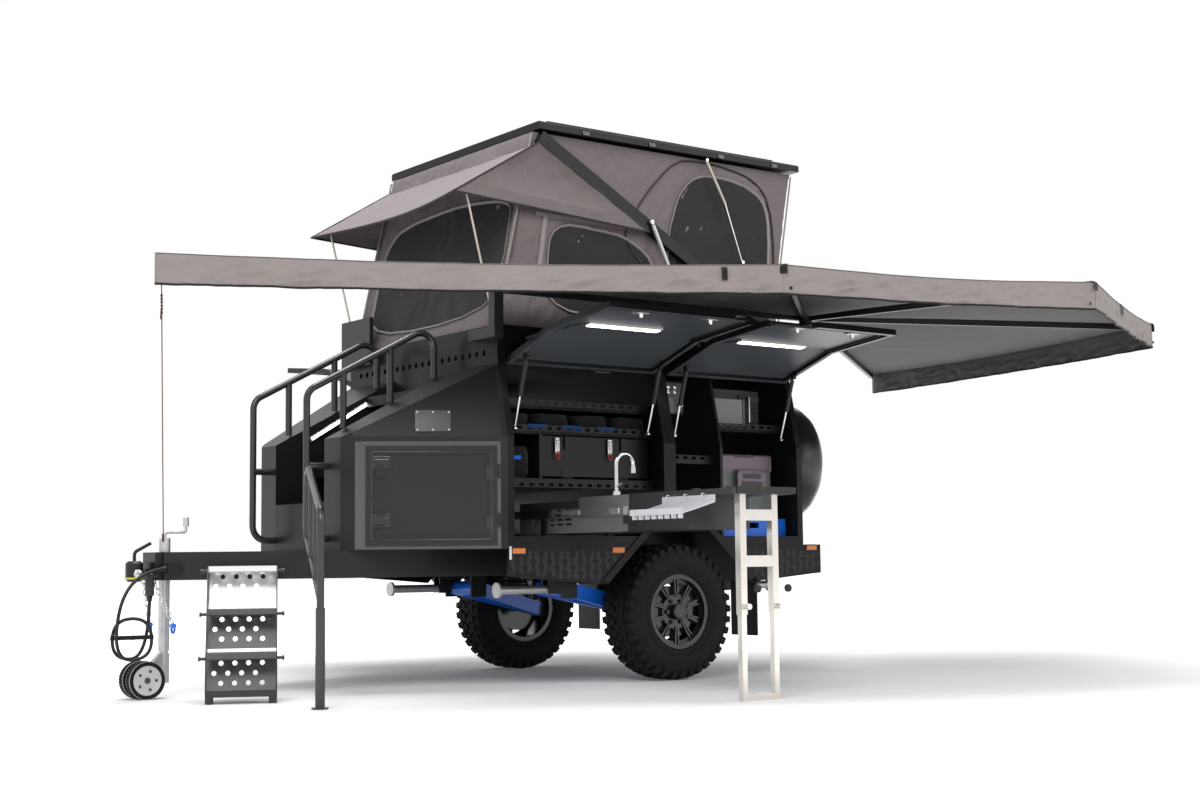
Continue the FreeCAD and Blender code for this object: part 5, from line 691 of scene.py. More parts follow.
def slack(p, out):
    """Point of the tent's wall, let out of its plane between tray, middle frame and lid."""
    free = smooth((p.z - 2.03) / 0.08) * smooth((TENT_TOP - p.z) / 0.06)
    bar = 2.085 + (p.x - 0.98) * -0.562
    pin = min(1.0, abs(p.z - bar) / 0.16)
    depth = 0.012 * waver(p, 2.2, 3.1) + 0.006 * waver(at(p.x * 2.0, p.y * 2.0, p.z * 0.7), 6.0, 7.7)
    depth += 0.0035 * waver(p, 17.0, 1.3)
    pull = at((p.x - p.z * 0.9) * 3.0, p.y, (p.x + p.z) * 0.5)
    depth += 0.006 * waver(pull, 9.0, 5.3)
    return p + out * (depth - 0.01) * free * pin


def tent_cloth():
    """The four fabric walls as one sheet."""
    def round_tent(s, t):
        z = TENT_LOW + (TENT_TOP - TENT_LOW) * t
        front, rear = tent_side_x(max(z, TRAY_TOP))
        depth, width = rear - front, 2 * TENT_HALF
        d = s * 2 * (depth + width)
        if d < depth:
            return slack(at(front + d, -TENT_HALF, z), -Y)
        if d < depth + width:
            return slack(at(rear, -TENT_HALF + d - depth, z), X)
        if d < 2 * depth + width:
            return slack(at(rear - (d - depth - width), TENT_HALF, z), Y)
        return slack(at(front, TENT_HALF - (d - 2 * depth - width), z), -X)
    made = piece("tent_cloth", Shape().sheet(round_tent, 420, 96), "frame", "canvas_grey", angle=60, weld=True)
    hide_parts("tent_walls")
    return made


def on_side(side, lift):
    return lambda x, z: slack(at(x, side * TENT_HALF, z), Y * side) + Y * side * lift


def on_front(lift):
    return lambda y, z: slack(at(tent_side_x(z)[0], y, z), -X) - X * lift


# Outlines of the zip, the pane and the lower window on each side, and of the front window
ZIP = [(-0.271, 2.62), (-0.271, 2.699), (-0.169, 2.852), (-0.05, 3.002), (0.119, 3.155), (0.232, 3.18),
       (0.477, 3.18), (0.771, 3.123), (0.91, 2.98), (0.925, 2.62), (0.905, 2.3), (-0.02, 2.36)]
PANE = [(0.04, 2.62), (0.097, 2.839), (0.171, 2.985), (0.311, 3.104), (0.6, 3.095), (0.811, 3.024),
        (0.885, 2.911), (0.875, 2.604), (0.86, 2.36), (0.05, 2.4)]
LOWER = [(-0.816, 2.676), (-0.855, 2.401), (-0.84, 2.15), (-0.1, 2.15), (-0.02, 2.479), (-0.249, 2.641),
         (-0.474, 2.665)]
FRONT = [(-0.74, 2.7), (-0.7, 2.79), (-0.4, 2.84), (0.0, 2.86), (0.4, 2.84), (0.66, 2.78), (0.7, 2.4),
         (0.7, 2.12), (-0.7, 2.12), (-0.74, 2.4)]


def tent_windows():
    """Mesh windows with their zipped frames, and the piping along the walls' edges."""
    mesh, frames, zips, seams = shapes(4)

    def window(outline, wall, radius):
        line = dense(rounded(outline))
        mesh.patch(line, wall(0.004))
        frames.tube([wall(0.006)(*p) for p in line], radius, 6, closed=True, flat=0.45)

    for side in (-1, 1):
        for outline in (PANE, LOWER):
            window(outline, lambda lift: on_side(side, lift), 0.01)
        zips.tube([on_side(side, 0.005)(*p) for p in dense(rounded(ZIP))], 0.007, 6, closed=True, flat=0.6)
        for x0, z0, x1, z1, width in ((-1.155, 2.25, -1.048, 2.75, X * 0.03), (-0.925, 2.25, -0.855, 2.731, X * 0.03),
                                      (-0.93, 2.72, -0.1, 2.7, Z * 0.025)):
            line = [(x0 + (x1 - x0) * k / 16, z0 + (z1 - z0) * k / 16) for k in range(17)]
            seams.ribbon([on_side(side, 0.005)(*p) for p in line], width)
        for k, out in enumerate((-0.004, 0.004)):
            heights = [2.1 + 1.08 * t / 30 for t in range(31)]
            seams.tube([at(tent_side_x(z)[k] + out, side * (TENT_HALF + 0.003), z) for z in heights], 0.006, 6)
    window(FRONT, on_front, 0.011)
    return [piece("tent_mesh", mesh, "frame", "black_mesh", angle=60),
            piece("tent_window_frames", frames, "frame", "grey_piping", angle=60),
            piece("tent_zips", zips, "frame", "dark_trim", angle=60),
            piece("tent_seams", seams, "frame", "grey_piping", angle=60)]


tent, tent_parts = tent_cloth(), tent_windows()
for made in [tent] + tent_parts:
    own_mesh(made)

# Rain hood: ends of its bars at the lid, at its lip and at the tent's side
FLY_AREA, FLY_HALF = 1.65, 0.853
FLY_TOP, FLY_LIP, FLY_BACK = at(-0.935, 0, 3.128), at(-1.518, 0, 2.772), at(-0.135, 0, 2.684)


def fly_hood():
    """One sheet from the lid's front bar over the ridge pole and down both sides."""
    shell = Shape()

    def top_sheet(s, t):
        p = FLY_TOP.lerp(FLY_LIP, t) + Y * FLY_HALF * (2 * s - 1)
        p.z -= sin(pi * s) * sin(pi * t) * 0.03 - 0.004 * waver(p, 9.0, 2.0)
        p.x += 0.1 * sin(pi * s) * t ** 3
        pull = at(p.x * 0.8, p.y * 3.0 + p.x * 2.0 * (1 if p.y > 0 else -1))
        p.z += 0.007 * waver(pull, 5.0, 9.0) * sin(pi * t)
        return p
    shell.sheet(top_sheet, 90, 50)
    for side in (-1, 1):
        def side_sheet(s, t):
            p = FLY_TOP.lerp(FLY_LIP, s).lerp(FLY_TOP.lerp(FLY_BACK, s), t)
            dip = sin(pi * t) * sin(pi * min(1.0, s * 1.2))
            pull = at(p.x * 3.0 + p.z * 2.0, 0.0, p.z * 0.8 - p.x * 0.5)
            p.y = side * (FLY_HALF - 0.05 * dip + 0.006 * waver(p, 12.0, 4.0 + side)
                          + 0.012 * dip * waver(pull, 4.0, 6.0))
            return p
        shell.sheet(side_sheet, 60, 60)
    made = piece("fly_hood", shell, "frame", "canvas_grey", angle=50, weld=True)
    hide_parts("tent_fly")
    return made


def fly_trim():
    """Bound edges of the hood, and its two poles."""
    edge, poles = shapes(2)
    for side in (-1, 1):
        for a, b, count, radius in ((FLY_LIP, FLY_BACK, 30, 0.006), (FLY_TOP, FLY_BACK, 20, 0.005),
                                    (FLY_TOP, FLY_LIP, 16, 0.006)):
            edge.tube([a.lerp(b, k / count) + Y * side * 0.852 for k in range(count + 1)], radius, 6)
        low = at(-1.222, side * 0.8, 2.06)
        high = FLY_TOP.lerp(FLY_LIP, 0.82) + at(0.0, side * 0.8, -0.012)
        poles.tube([low, high], 0.006, 10)
        poles.lathe([(-0.014, 0.008), (0.0, 0.014), (0.02, 0.01)], low, high - low, 14)
    lip = []
    for k in range(41):
        s = k / 40
        lip.append(FLY_LIP + at(0.1 * sin(pi * s), FLY_HALF * (2 * s - 1), -sin(pi * s) * 0.004))
    edge.tube(lip, 0.007, 6)
    return [piece("fly_edges", edge, "frame", "dark_trim", angle=60),
            piece("fly_poles", poles, "frame", "cream_pole", angle=40)]


fly, fly_parts = fly_hood(), fly_trim()
for made in [fly] + fly_parts:
    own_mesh(made)

# Awning
HUB = at(1.0, -1.01, 2.246)
CORNERS = [at(-3.27, -0.88, 2.244), at(-0.42, -2.34, 2.244), at(1.47, -2.88, 2.244), at(3.29, -1.95, 2.244),
           at(3.95, 1.28, 2.244)]
BORDER = 0.156


def flutter(rim, drop):
    """How far the awning's border stands off its plane, at a distance below its edge."""
    fold = abs(waver(at(rim.x + drop * 1.6, rim.y - drop * 1.2, drop * 2.2), 7.0, 2.5)) * 0.03
    return 0.02 * waver(at(rim.x, rim.y, 0.3), 4.5, 5.0) + 0.009 * waver(rim + Z * drop, 13.0, 8.0) - fold + 0.006


def border(a, b, s):
    """Point on an edge, the way out from it, how free the cloth is there, and its sag."""
    way = (b - a).normalized()
    free = min(1.0, min(s, 1 - s) * (b - a).length / 0.1)
    return a.lerp(b, s), at(way.y, -way.x), free, sin(pi * s) * 0.02575


def canopy():
    shell = Shape()
    for a, b in zip(CORNERS, CORNERS[1:]):
        def roof(s, t):
            p = HUB.lerp(a.lerp(b, s), t)
            p.z -= sin(pi * s) * (0.055 * t * (1.25 - t) + 0.012)
            p.z += 0.0035 * waver(p, 5.0, 1.0) * smooth(t * 4) * sin(pi * s)
            return p

        def hang(s, t):
            rim, out, free, sag = border(a, b, s)
            drop = BORDER * t
            p = rim - out * 0.004 + out * flutter(rim, drop) * smooth(t * 1.6) * free
            p.z -= sag * (1 - t * 0.6) + drop
            return p
        shell.sheet(roof, 90, 50)
        shell.sheet(hang, 240, 14)
    made = piece("awning_cloth", shell, "frame", "awning_grey", angle=50, weld=True, painted_shade_back="awning_underside_painted_shade")
    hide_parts("awning_canopy")
    return made


def canopy_trim():
    """Hem, corner straps, side flaps with their buckles, and the taut rope to the drawbar."""
    hem, straps, rope = shapes(3)
    low = []
    for a, b in zip(CORNERS, CORNERS[1:]):
        count = int((b - a).length / 0.02)
        for k in range(count):
            rim, out, free, sag = border(a, b, k / count)
            low.append(rim + out * (flutter(rim, BORDER) * free - 0.004) - Z * (BORDER + sag * 0.4))
    hem.tube(low, 0.0055, 6)
    for corner in CORNERS[1:4]:
        out = (corner - HUB).normalized()
        across = at(-out.y, out.x)
        drop = [corner + out * reach + Z * rise for reach, rise in ((-0.1, 0.004), (0.001, 0.004), (0.002, -0.05))]
        straps.ribbon(bent(drop, 0.02, 4), across * 0.04)
        for aside in (-0.035, 0.035):
            straps.lathe([(0.0, 0.009), (0.003, 0.008), (0.004, 0.004)],
                         corner + across * aside - out * abs(aside) * 0.6 - Z * 0.125, out, 12)
    for k, share in ((2, 0.4), (3, 0.55), (0, 0.9)):
        a, b = CORNERS[k:k + 2]
        place, out, _, _ = border(a, b, share)
        fall = [place + out * reach - Z * low for reach, low in ((-0.08, 0.018), (0.008, 0.022), (0.01, 0.09))]
        straps.ribbon(bent(fall, 0.02, 4), (b - a).normalized() * 0.03, 0.004)
    first, last = at(-3.235, -0.885, 2.09), at(-2.838, 0.0, 0.812)
    rope.tube([first + Z * 0.14, first, first.lerp(last, 0.5), last], 0.003, 8)
    for k in range(6):
        rope.lathe([(0.0, 0.003), (0.006, 0.0062), (0.014, 0.0062), (0.018, 0.003)],
                   first.lerp(last, 0.035 + k * 0.012), last - first, 10)
    for t in (0.11, 0.965):
        rope.pad(first.lerp(last, t), (0.016, 0.045), 0.006, across=-Y)
    made = [piece("awning_hem", hem, "frame", "black_web", angle=60),
            piece("awning_straps", straps, "frame", "black_web", angle=50)]
    piece("awning_rope", rope, "frame", "brown_cord", angle=50)
    return made


awning = canopy()
canopy_trim()

# Bags in the front bay
BAG_X, BAG_DEPTH = (-1.215, -0.098), 0.32
BAG_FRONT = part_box("storage_bags")[0].y


def bag(name, x0, x1, z0, z1, seed):
    """Soft box with bulging sides and sunken ends."""
    shell = Shape()
    mid, half = at((x0 + x1) / 2, BAG_FRONT + BAG_DEPTH / 2), at((x1 - x0) / 2, BAG_DEPTH / 2)
    rings, around = 14, 36

    def wall(s, t):
        ca, sa = cos(2 * pi * s), sin(2 * pi * s)
        k = (abs(ca) ** 5 + abs(sa) ** 5) ** -0.2
        k *= (1 - 0.1 * smooth(abs(t - 0.5) * 2 - 0.55)) * (1 - 0.05 * (2 * t - 1) ** 2)
        p = at(mid.x + half.x * ca * k, mid.y + half.y * sa * k, z0 + (z1 - z0) * t)
        crease = 0.004 * waver(p, 22.0, seed) + 0.003 * waver(at(p.x, p.y, p.z * 3), 14.0, seed + 3)
        p += at(ca, sa) * (crease - 0.004)
        if t >= 1.0:
            p.z -= 0.004 + 0.006 * abs(waver(p, 9.0, seed))
        return p
    shell.sheet(wall, around, rings)
    n = len(shell.points)
    for edge, dz in ((shell.points[n - (around + 1):n - 1], -0.008), (shell.points[0:around], 0.0)):
        centre = sum(edge, Vector()) / around
        inner = [p.lerp(centre, 0.6) + Z * dz for p in edge]
        faces = []
        for i in range(around):
            j = (i + 1) % around
            faces += [(i, j, around + j, around + i), (around + i, around + j, 2 * around)]
        shell.add(edge + inner + [centre + Z * dz * 1.5], faces)
    return piece(name, shell, "frame", "bag_black", angle=60, weld=True)


def storage_bags():
    count, gap = 4, 0.014
    pitch = (BAG_X[1] - BAG_X[0] + gap) / count
    for k in range(count):
        x0 = BAG_X[0] + pitch * k
        bag("shelf_bag_%d" % k, x0, x0 + pitch - gap, 1.4505, 1.562, 2.0 + k)
    bag("cube_bag", BAG_X[0], -0.943, 1.1785, 1.368, 9.0)
    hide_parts("storage_bags")


storage_bags()


# Spare wheel's cover
def spare_cover():
    shell = Shape()
    centre = at(1.086, -0.43, 1.34)
    profile = [(0.0, 0.3), (0.004, 0.352), (0.022, 0.385), (0.06, 0.399), (0.125, 0.402), (0.19, 0.399),
               (0.226, 0.386), (0.243, 0.356), (0.247, 0.3), (0.244, 0.2), (0.242, 0.1), (0.241, 0.004)]
    shell.lathe(profile, centre, X, 120)
    for i, p in enumerate(shell.points):
        out = at(0, p.y - centre.y, p.z - centre.z)
        dent = 0.0045 * waver(p, 11.0, 2.0) * min(1.0, out.length / 0.3)
        shell.points[i] = p + out.normalized() * dent + X * 0.004 * waver(p, 8.0, 5.0)
    made = piece("spare_cover", shell, "frame", "cover_black", angle=50)
    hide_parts("spare_wheel")


spare_cover()

# Fittings outside. The nose's slanting side starts at the body, and leans in above the waist
NOSE_REAR, NOSE_WAY, NOSE_OUT = at(-1.276, 0.95), at(-0.8694, -0.494), at(-0.494, 0.8694)
LEAN, WAIST, DOOR_OUT = 0.2222, 1.4, 0.0135


def on_nose(side, a, z, out=0.0):
    """Point on the nose's slanting side, a along it from the body and out from its face."""
    p = NOSE_REAR + NOSE_WAY * a + NOSE_OUT * (out - LEAN * max(0.0, z - WAIST)) + Z * z
    return at(p.x, p.y * side, p.z)


def nose_details(side, name):
    way = (on_nose(side, 0.0, 1.0) - on_nose(side, 1.0, 1.0)) * -side
    out = on_nose(side, 0.0, 1.0, 1.0) - on_nose(side, 0.0, 1.0)
    lean_up = on_nose(side, 0.0, 1.6) - on_nose(side, 0.0, 1.5)
    frame_body, door_body = "frame", "locker_door_" + name
    border, door, bolts, plate, heads = shapes(5)
    outer, inner = rectangle(0.004, 0.781, 0.802, 1.372), rectangle(0.034, 0.805, 0.735, 1.34)
    for (p, q), (r, s) in zip(pairs(outer), pairs(inner)):
        border.prism([on_nose(side, a, z, -0.001) for a, z in (p, q, s, r)], out * 0.0045)
    for z in (0.936, 1.256):
        door.pad(on_nose(side, 0.658, z, DOOR_OUT), (0.108, 0.07), 0.005, across=way)
        door.pad(on_nose(side, 0.658, z, 0.018), (0.078, 0.034), 0.006, across=way)
    for z in (0.923, 1.198):
        door.pad(on_nose(side, 0.066, z, DOOR_OUT), (0.044, 0.083), 0.004, 0.12, across=way)
        for da, dz in rectangle(-0.012, -0.028, 0.012, 0.028):
            bolts.bolt(on_nose(side, 0.066 + da, z + dz, 0.017), out, 0.0042, 0.004)
    lip = [on_nose(side, a, z, DOOR_OUT) for a, z in rectangle(0.055, 0.83, 0.714, 1.314)]
    rim = Shape().tube(looped(lip, 0.02), 0.0048, 8, closed=True)
    plate.pad(on_nose(side, 0.3755, 1.486, 0.001), (0.199, 0.124), 0.005, 0.12, way, lean_up)
    for a in (0.288, 0.3755, 0.463):
        for z in (1.436, 1.536):
            heads.bolt(on_nose(side, a, z, 0.0055), out, 0.0045, 0.004)
    piece("door_rim_" + name, rim, door_body, "gunmetal")
    piece("nose_border_" + name, border, frame_body, "frame_paint", bevel=0.002, angle=30)
    piece("door_fittings_" + name, door, door_body, "black_gloss")
    piece("door_bolts_" + name, bolts, door_body, "gunmetal")
    piece("blank_plate_" + name, plate, frame_body, "black_gloss")
    piece("plate_bolts_" + name, heads, frame_body, "bright_steel")


def nose_lamp():
    """Light strip on the inner face of the right locker, by the stairs."""
    a, b = at(-1.806, 0.2985, 1.44), at(-1.381, 0.2985, 1.698)
    up = at(-(b - a).z, 0, (b - a).x).normalized()

    def strip(a, b, half, thick):
        return Shape().prism([a - up * half, b - up * half, b + up * half, a + up * half], Y * -thick)
    case = strip(a, b, 0.015, 0.008)
    lamp = strip(a.lerp(b, 0.02) - Y * 0.008, a.lerp(b, 0.98) - Y * 0.008, 0.008, 0.004)
    piece("stair_lamp_case", case, "frame", "bright_steel", bevel=0.002)
    piece("stair_lamp", lamp, "frame", "led_face", bevel=0.001)


# Side panels with chequer bars, and the marker lamps on them, as (x, z) and as (x0, x1, z0, z1)
SKIRT_Y = 0.9495
FRONT_PANEL = ((-1.228, 0.634), (-1.228, 0.772), (-0.402, 0.772), (-0.61, 0.583))
REAR_PANEL = ((0.614, 0.583), (0.402, 0.772), (0.996, 0.774), (0.996, 0.79), (1.136, 0.79), (1.136, 0.628))
MARKERS = ((-1.209, -1.122, 0.75, 0.782), (-0.515, -0.427, 0.751, 0.785), (1.019, 1.105, 0.761, 0.793))


def within(x, z, outline):
    found = False
    for (a, b), (c, d) in pairs(outline):
        if (b > z) != (d > z) and x < a + (z - b) / (d - b) * (c - a):
            found = not found
    return found


def by_marker(p, room=0.016):
    return any(x0 - room < p.x < x1 + room and z0 - room < p.z < z1 + room for x0, x1, z0, z1 in MARKERS)


def chequer(side, name):
    """Raised bars in groups of five, turned each way by turns, and the marker lamps."""
    bars, lens, seat, strip = shapes(4)
    pitch, long, wide, high = 0.054, 0.0165, 0.0021, 0.0018
    form = ((1, 0), (0.6, 1), (-0.6, 1), (-1, 0), (-0.6, -1), (0.6, -1))
    for outline in (FRONT_PANEL, REAR_PANEL):
        x_low, z_low = (min(part) for part in zip(*outline))
        for i in range(18):
            for j in range(7):
                middle = at(x_low + (i + 0.5) * pitch, 0, z_low + (j + 0.5) * pitch * 0.62 - 0.01)
                along, across = spoke(radians(45 if (i + j) % 2 else -45))
                for k in range(-2, 3):
                    mid = middle + across * k * 0.0078
                    ends = (mid + along * long, mid - along * long)
                    if by_marker(mid) or not all(within(q.x, q.z, outline) for q in ends):
                        continue
                    low = [mid + along * long * u + across * wide * v for u, v in form]
                    bars.stud([q + Y * side * (SKIRT_Y + 0.0002) for q in low],
                              [mid + (q - mid) * 0.72 + Y * side * (SKIRT_Y + 0.0002 + high) for q in low])
    for x0, x1, z0, z1 in MARKERS:
        mid, size = at((x0 + x1) / 2, side * SKIRT_Y, (z0 + z1) / 2), at(x1 - x0, z1 - z0)
        seat.pad(mid, (size.x + 0.008, size.y + 0.008), 0.004, 0.2, X * -side)
        lens.pad(mid + Y * side * 0.003, (size.x - 0.004, size.y - 0.004), 0.008, 0.25, X * -side)
    strip.pad((-1.219, side * SKIRT_Y, 0.755), (0.016, 0.074), 0.003, 0.2, X * -side)
    for z in (0.728, 0.782):
        strip.bolt((-1.219, side * (SKIRT_Y + 0.0025), z), Y * side, 0.004, 0.003)
    piece("chequer_" + name, bars, "frame", "gunmetal", angle=30)
    piece("marker_seats_" + name, seat, "frame", "black_gloss")
    piece("marker_lenses_" + name, lens, "frame", "amber_lens")
    piece("corner_strip_" + name, strip, "frame", "bright_steel")


for side, name in SIDES:
    nose_details(side, name)
nose_lamp()
for side, name in SIDES:
    chequer(side, name)


def bow(shape, pin, down, size, wire=0.0085):
    """Bow shackle: a bolt through the lug and a round bow hanging from it."""
    pin, down = Vector(pin), Vector(down).normalized()
    shape.lathe([(-size, 0.012), (size, 0.012), (size + 0.008, 0.01)], pin, Y, 12)
    path = [pin - Y * size * 0.8]
    for k in range(13):
        t = pi * k / 12
        path.append(pin + down * (size * 0.9 + size * 1.25 * sin(t)) - Y * size * 1.15 * cos(t))
    shape.tube(path + [pin + Y * size * 0.8], wire, 10)


def rear_shackles():
    blue = Shape()
    for side in (-1, 1):
        bow(blue, (1.176, side * 0.817, 0.67), (0.25, 0, -1), 0.024)
    piece("rear_shackles", blue, "frame", "slide_blue", angle=40)


rear_shackles()


# Hatch lamps and edges
def under_hatch(x, y, down=0.0):
    return at(x, -y, 1.9935 + (y - 1.395) * 0.105 - down)


def hatch_fittings(name, x0, x1, a, b, c, d):
    """Lamp from (a, c) to (b, d), seal from x0 to x1, two latches and the lamp's wire."""
    case, lamp, seal, latches, wires = shapes(5)
    case.prism([under_hatch(x, y, -0.002) for x, y in rectangle(a, c, b, d)], Z * -0.014)
    face = rectangle(a + 0.012, c + 0.012, b - 0.012, d - 0.012)
    lamp.prism([under_hatch(x, y, 0.01) for x, y in face], Z * -0.006)
    loop = [under_hatch(x, y, 0.004) for x, y in rectangle(x0, 0.985, x1, 1.765)]
    seal.tube(looped(loop, 0.03), 0.008, 8, closed=True)
    for t in (0.25, 0.75):
        x = x0 + (x1 - x0) * t
        latches.pad(under_hatch(x, 1.735), (0.052, 0.085), 0.012, across=Y, up=X)
        latches.lathe([(0.0, 0.012), (0.018, 0.01), (0.024, 0.006)], under_hatch(x, 1.735, 0.01), -Z, 16)
    mid = (c + d) / 2
    run = [under_hatch(a - 0.002, mid, 0.006), under_hatch(a - 0.05, mid - 0.06, 0.004),
           under_hatch(a - 0.06, 1.02, 0.004)]
    wires.tube(bent(run, 0.03, 5), 0.0035, 8)
    body = "hatch_" + name
    piece("lamp_case_" + name, case, body, "bright_steel", bevel=0.002)
    piece("lamp_" + name, lamp, body, "led_face", bevel=0.001)
    piece("hatch_seal_" + name, seal, body, "rubber")
    piece("hatch_latches_" + name, latches, body, "bright_steel")
    piece("lamp_wire_" + name, wires, body, "rubber")


hatch_fittings("front_left", -1.14, -0.17, -1.03, -0.52, 1.39, 1.456)
hatch_fittings("rear_left", 0.02, 0.903, 0.13, 0.66, 1.315, 1.38)


# Front bay: bag handles and the cabinet's latches
def front_bay():
    blue, silver, red = shapes(3)
    for x0, x1, inset, back, top, low, width in (
            (-0.972, -0.839, 0.02, 0.008, 1.482, 1.478, 0.026), (-0.726, -0.597, 0.02, 0.008, 1.482, 1.478, 0.026),
            (-0.48, -0.354, 0.02, 0.008, 1.482, 1.478, 0.026), (-1.111, -1.036, 0.006, 0.004, 1.31, 1.297, 0.022)):
        y = BAG_FRONT + back
        path = [(x0, y, top), (x0 + inset, y - 0.018, low), (x1 - inset, y - 0.018, low), (x1, y, top)]
        blue.ribbon(path, Z * width, 0.004)
    for x in (-0.8, -0.42):
        silver.pad((x, -0.813, 1.372), (0.03, 0.09), 0.006)
        silver.lathe([(0.0, 0.01), (0.006, 0.01), (0.01, 0.006)], (x, -0.818, 1.392), -Y, 16)
        wire = ((-0.009, -0.822, 1.41), (-0.009, -0.826, 1.35), (0.009, -0.826, 1.35), (0.009, -0.822, 1.41))
        silver.tube([(x + dx, y, z) for dx, y, z in wire], 0.0022, 8)
        red.tube(ring(at(x, -0.82, 1.316), X * 0.013, Z * 0.022, 14), 0.0035, 8, closed=True)
    piece("bag_handles", blue, "frame", "blue_web", angle=50)
    piece("cabinet_latches", silver, "cabinet_door", "bright_steel")
    piece("cabinet_latch_loops", red, "cabinet_door", "red_part")


# Rear bay: switch panel, oven and cooler, each (centre, size, thickness, corner) on its front
PANEL_Y, OVEN_Y, COOLER_Y = -0.702, -0.7475, -0.8165


def rear_bay():
    dark, glass, knobs, pane, bars, keys, show, grip = shapes(8)
    dark.pad((0.09, PANEL_Y, 1.704), (0.3, 0.18), 0.002, 0.05)
    glass.pad((0.09, PANEL_Y - 0.001, 1.655), (0.14, 0.1), 0.004, 0.08)
    knob = [(0.0, 0.01), (0.004, 0.01), (0.012, 0.007), (0.014, 0.004)]
    for x in (0.195, 0.222):
        knobs.lathe(knob, (x, PANEL_Y - 0.002, 1.655), -Y, 18)
    for z, throw in ((1.742, -0.006), (1.772, 0.006)):
        for k in range(5):
            x = -0.035 + k * 0.052
            knobs.lathe([(0.0, 0.013), (0.003, 0.013), (0.004, 0.01)], (x, PANEL_Y - 0.001, z), -Y, 20)
            knobs.tube([(x, PANEL_Y - 0.004, z), (x + 0.004, PANEL_Y - 0.016, z + throw)], 0.0026, 8)
    pane.pad((0.572, OVEN_Y, 1.6265), (0.266, 0.171), 0.003, 0.08)
    handle = [(0.722, y, z) for y, z in ((-0.749, 1.56), (-0.772, 1.565), (-0.772, 1.735), (-0.749, 1.74))]
    bars.tube(bent(handle, 0.012, 4), 0.006, 10)
    keys.pad((0.785, OVEN_Y, 1.715), (0.08, 0.04), 0.003, 0.1)
    for row in range(4):
        for k in range(3):
            keys.pad((0.76 + k * 0.025, OVEN_Y, 1.668 - row * 0.026), (0.018, 0.015), 0.003)
    keys.lathe([(0.0, 0.017), (0.012, 0.015), (0.014, 0.01)], (0.785, OVEN_Y, 1.55), -Y, 24)
    grip.pad((0.69, COOLER_Y, 1.19), (0.235, 0.12), 0.006, 0.2)
    for x in (0.47, 0.869):
        grip.pad((x, -0.7885, 1.3), (0.02, 0.09), 0.006)
    for x, y, z, size in ((0.69, -0.822, 1.225, (0.15, 0.03)), (0.69, -0.822, 1.172, (0.175, 0.04)),
                          (0.655, -0.7885, 1.35, (0.16, 0.016))):
        show.pad((x, y, z), size, 0.003)
    piece("switch_plate", dark, "frame", "black_gloss")
    piece("switch_screen", glass, "frame", "screen_glass")
    piece("switch_knobs", knobs, "frame", "bright_steel")
    piece("oven_window", pane, "frame", "oven_glass")
    piece("oven_handle", bars, "frame", "bright_steel")
    piece("oven_keys", keys, "frame", "grey_plastic")
    piece("cooler_display", show, "fridge_slide", "black_gloss")
    piece("cooler_trim", grip, "fridge_slide", "mauve_plastic")


front_bay()
rear_bay()


# Wheels' faces
def wheel_face(side, name):
    """Ridges of the spokes, rim's lip, cap's ring, and bolts."""
    centre, out = at(0.0, side * WHEEL_Y, TYRE_R), Y * side
    ridges, lips = shapes(2)
    for k in range(10):
        way, across = spoke(radians(18 + 36 * k))
        for aside in (-0.0085, 0.0085):
            a = centre + way * 0.088 + out * 0.083 + across * aside * 0.75
            b = centre + way * 0.196 + out * 0.083 + across * aside * 1.5
            ridges.prism([a - across * 0.0045, b - across * 0.005, b + across * 0.005, a + across * 0.0045],
                         out * 0.009)
        ridges.bolt(centre + way * 0.2075 + out * 0.1065, out, 0.0045, 0.004)
    lips.lathe([(0.1175 + 0.0035 * cos(t), 0.2175 + 0.0035 * sin(t)) for t in turns(10)], centre, out, 96, closed=True)
    lips.lathe([(0.1255, 0.034), (0.1275, 0.032), (0.1275, 0.029), (0.1262, 0.028)], centre, out, 40, closed=True)
    for turn in turns(6):
        lips.bolt(centre + spoke(turn)[0] * 0.07 + out * 0.0955, out, 0.0075, 0.008)
    piece("rim_ridges_" + name, ridges, "wheel_" + name, "black_gloss", bevel=0.0012)
    piece("rim_lip_" + name, lips, "wheel_" + name, "black_gloss")


for side, name in SIDES:
    wheel_face(side, name)


# Roof tent's upper struts, and the lid's clasps
def tent_fittings():
    cream, chrome, clasps = shapes(3)
    for side in (-1, 1):
        top, mid, low = (at(x, side * 0.842, z) for x, z in ((0.341, 3.19), (0.491, 2.93), (0.623, 2.571)))
        cream.tube([top, mid], 0.009, 12)
        chrome.tube([mid, low], 0.005, 12)
        for p in (top, low):
            chrome.lathe([(-0.012, 0.01), (0.012, 0.01)], p, Y, 14)
        for x in (-0.6, -0.1, 0.45, 0.9):
            clasps.pad((x, side * 0.8535, 3.222), (0.05, 0.026), 0.008, across=X * -side)
            clasps.bolt((x - 0.016, side * 0.86, 3.222), Y * side, 0.004, 0.003)
    for obj in (piece("upper_strut_tubes", cream, "frame", "cream_pole"),
                piece("upper_strut_rods", chrome, "frame", "chrome")):
        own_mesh(obj)
    piece("lid_clasps", clasps, "tent_lid", "black_gloss")


tent_fittings()


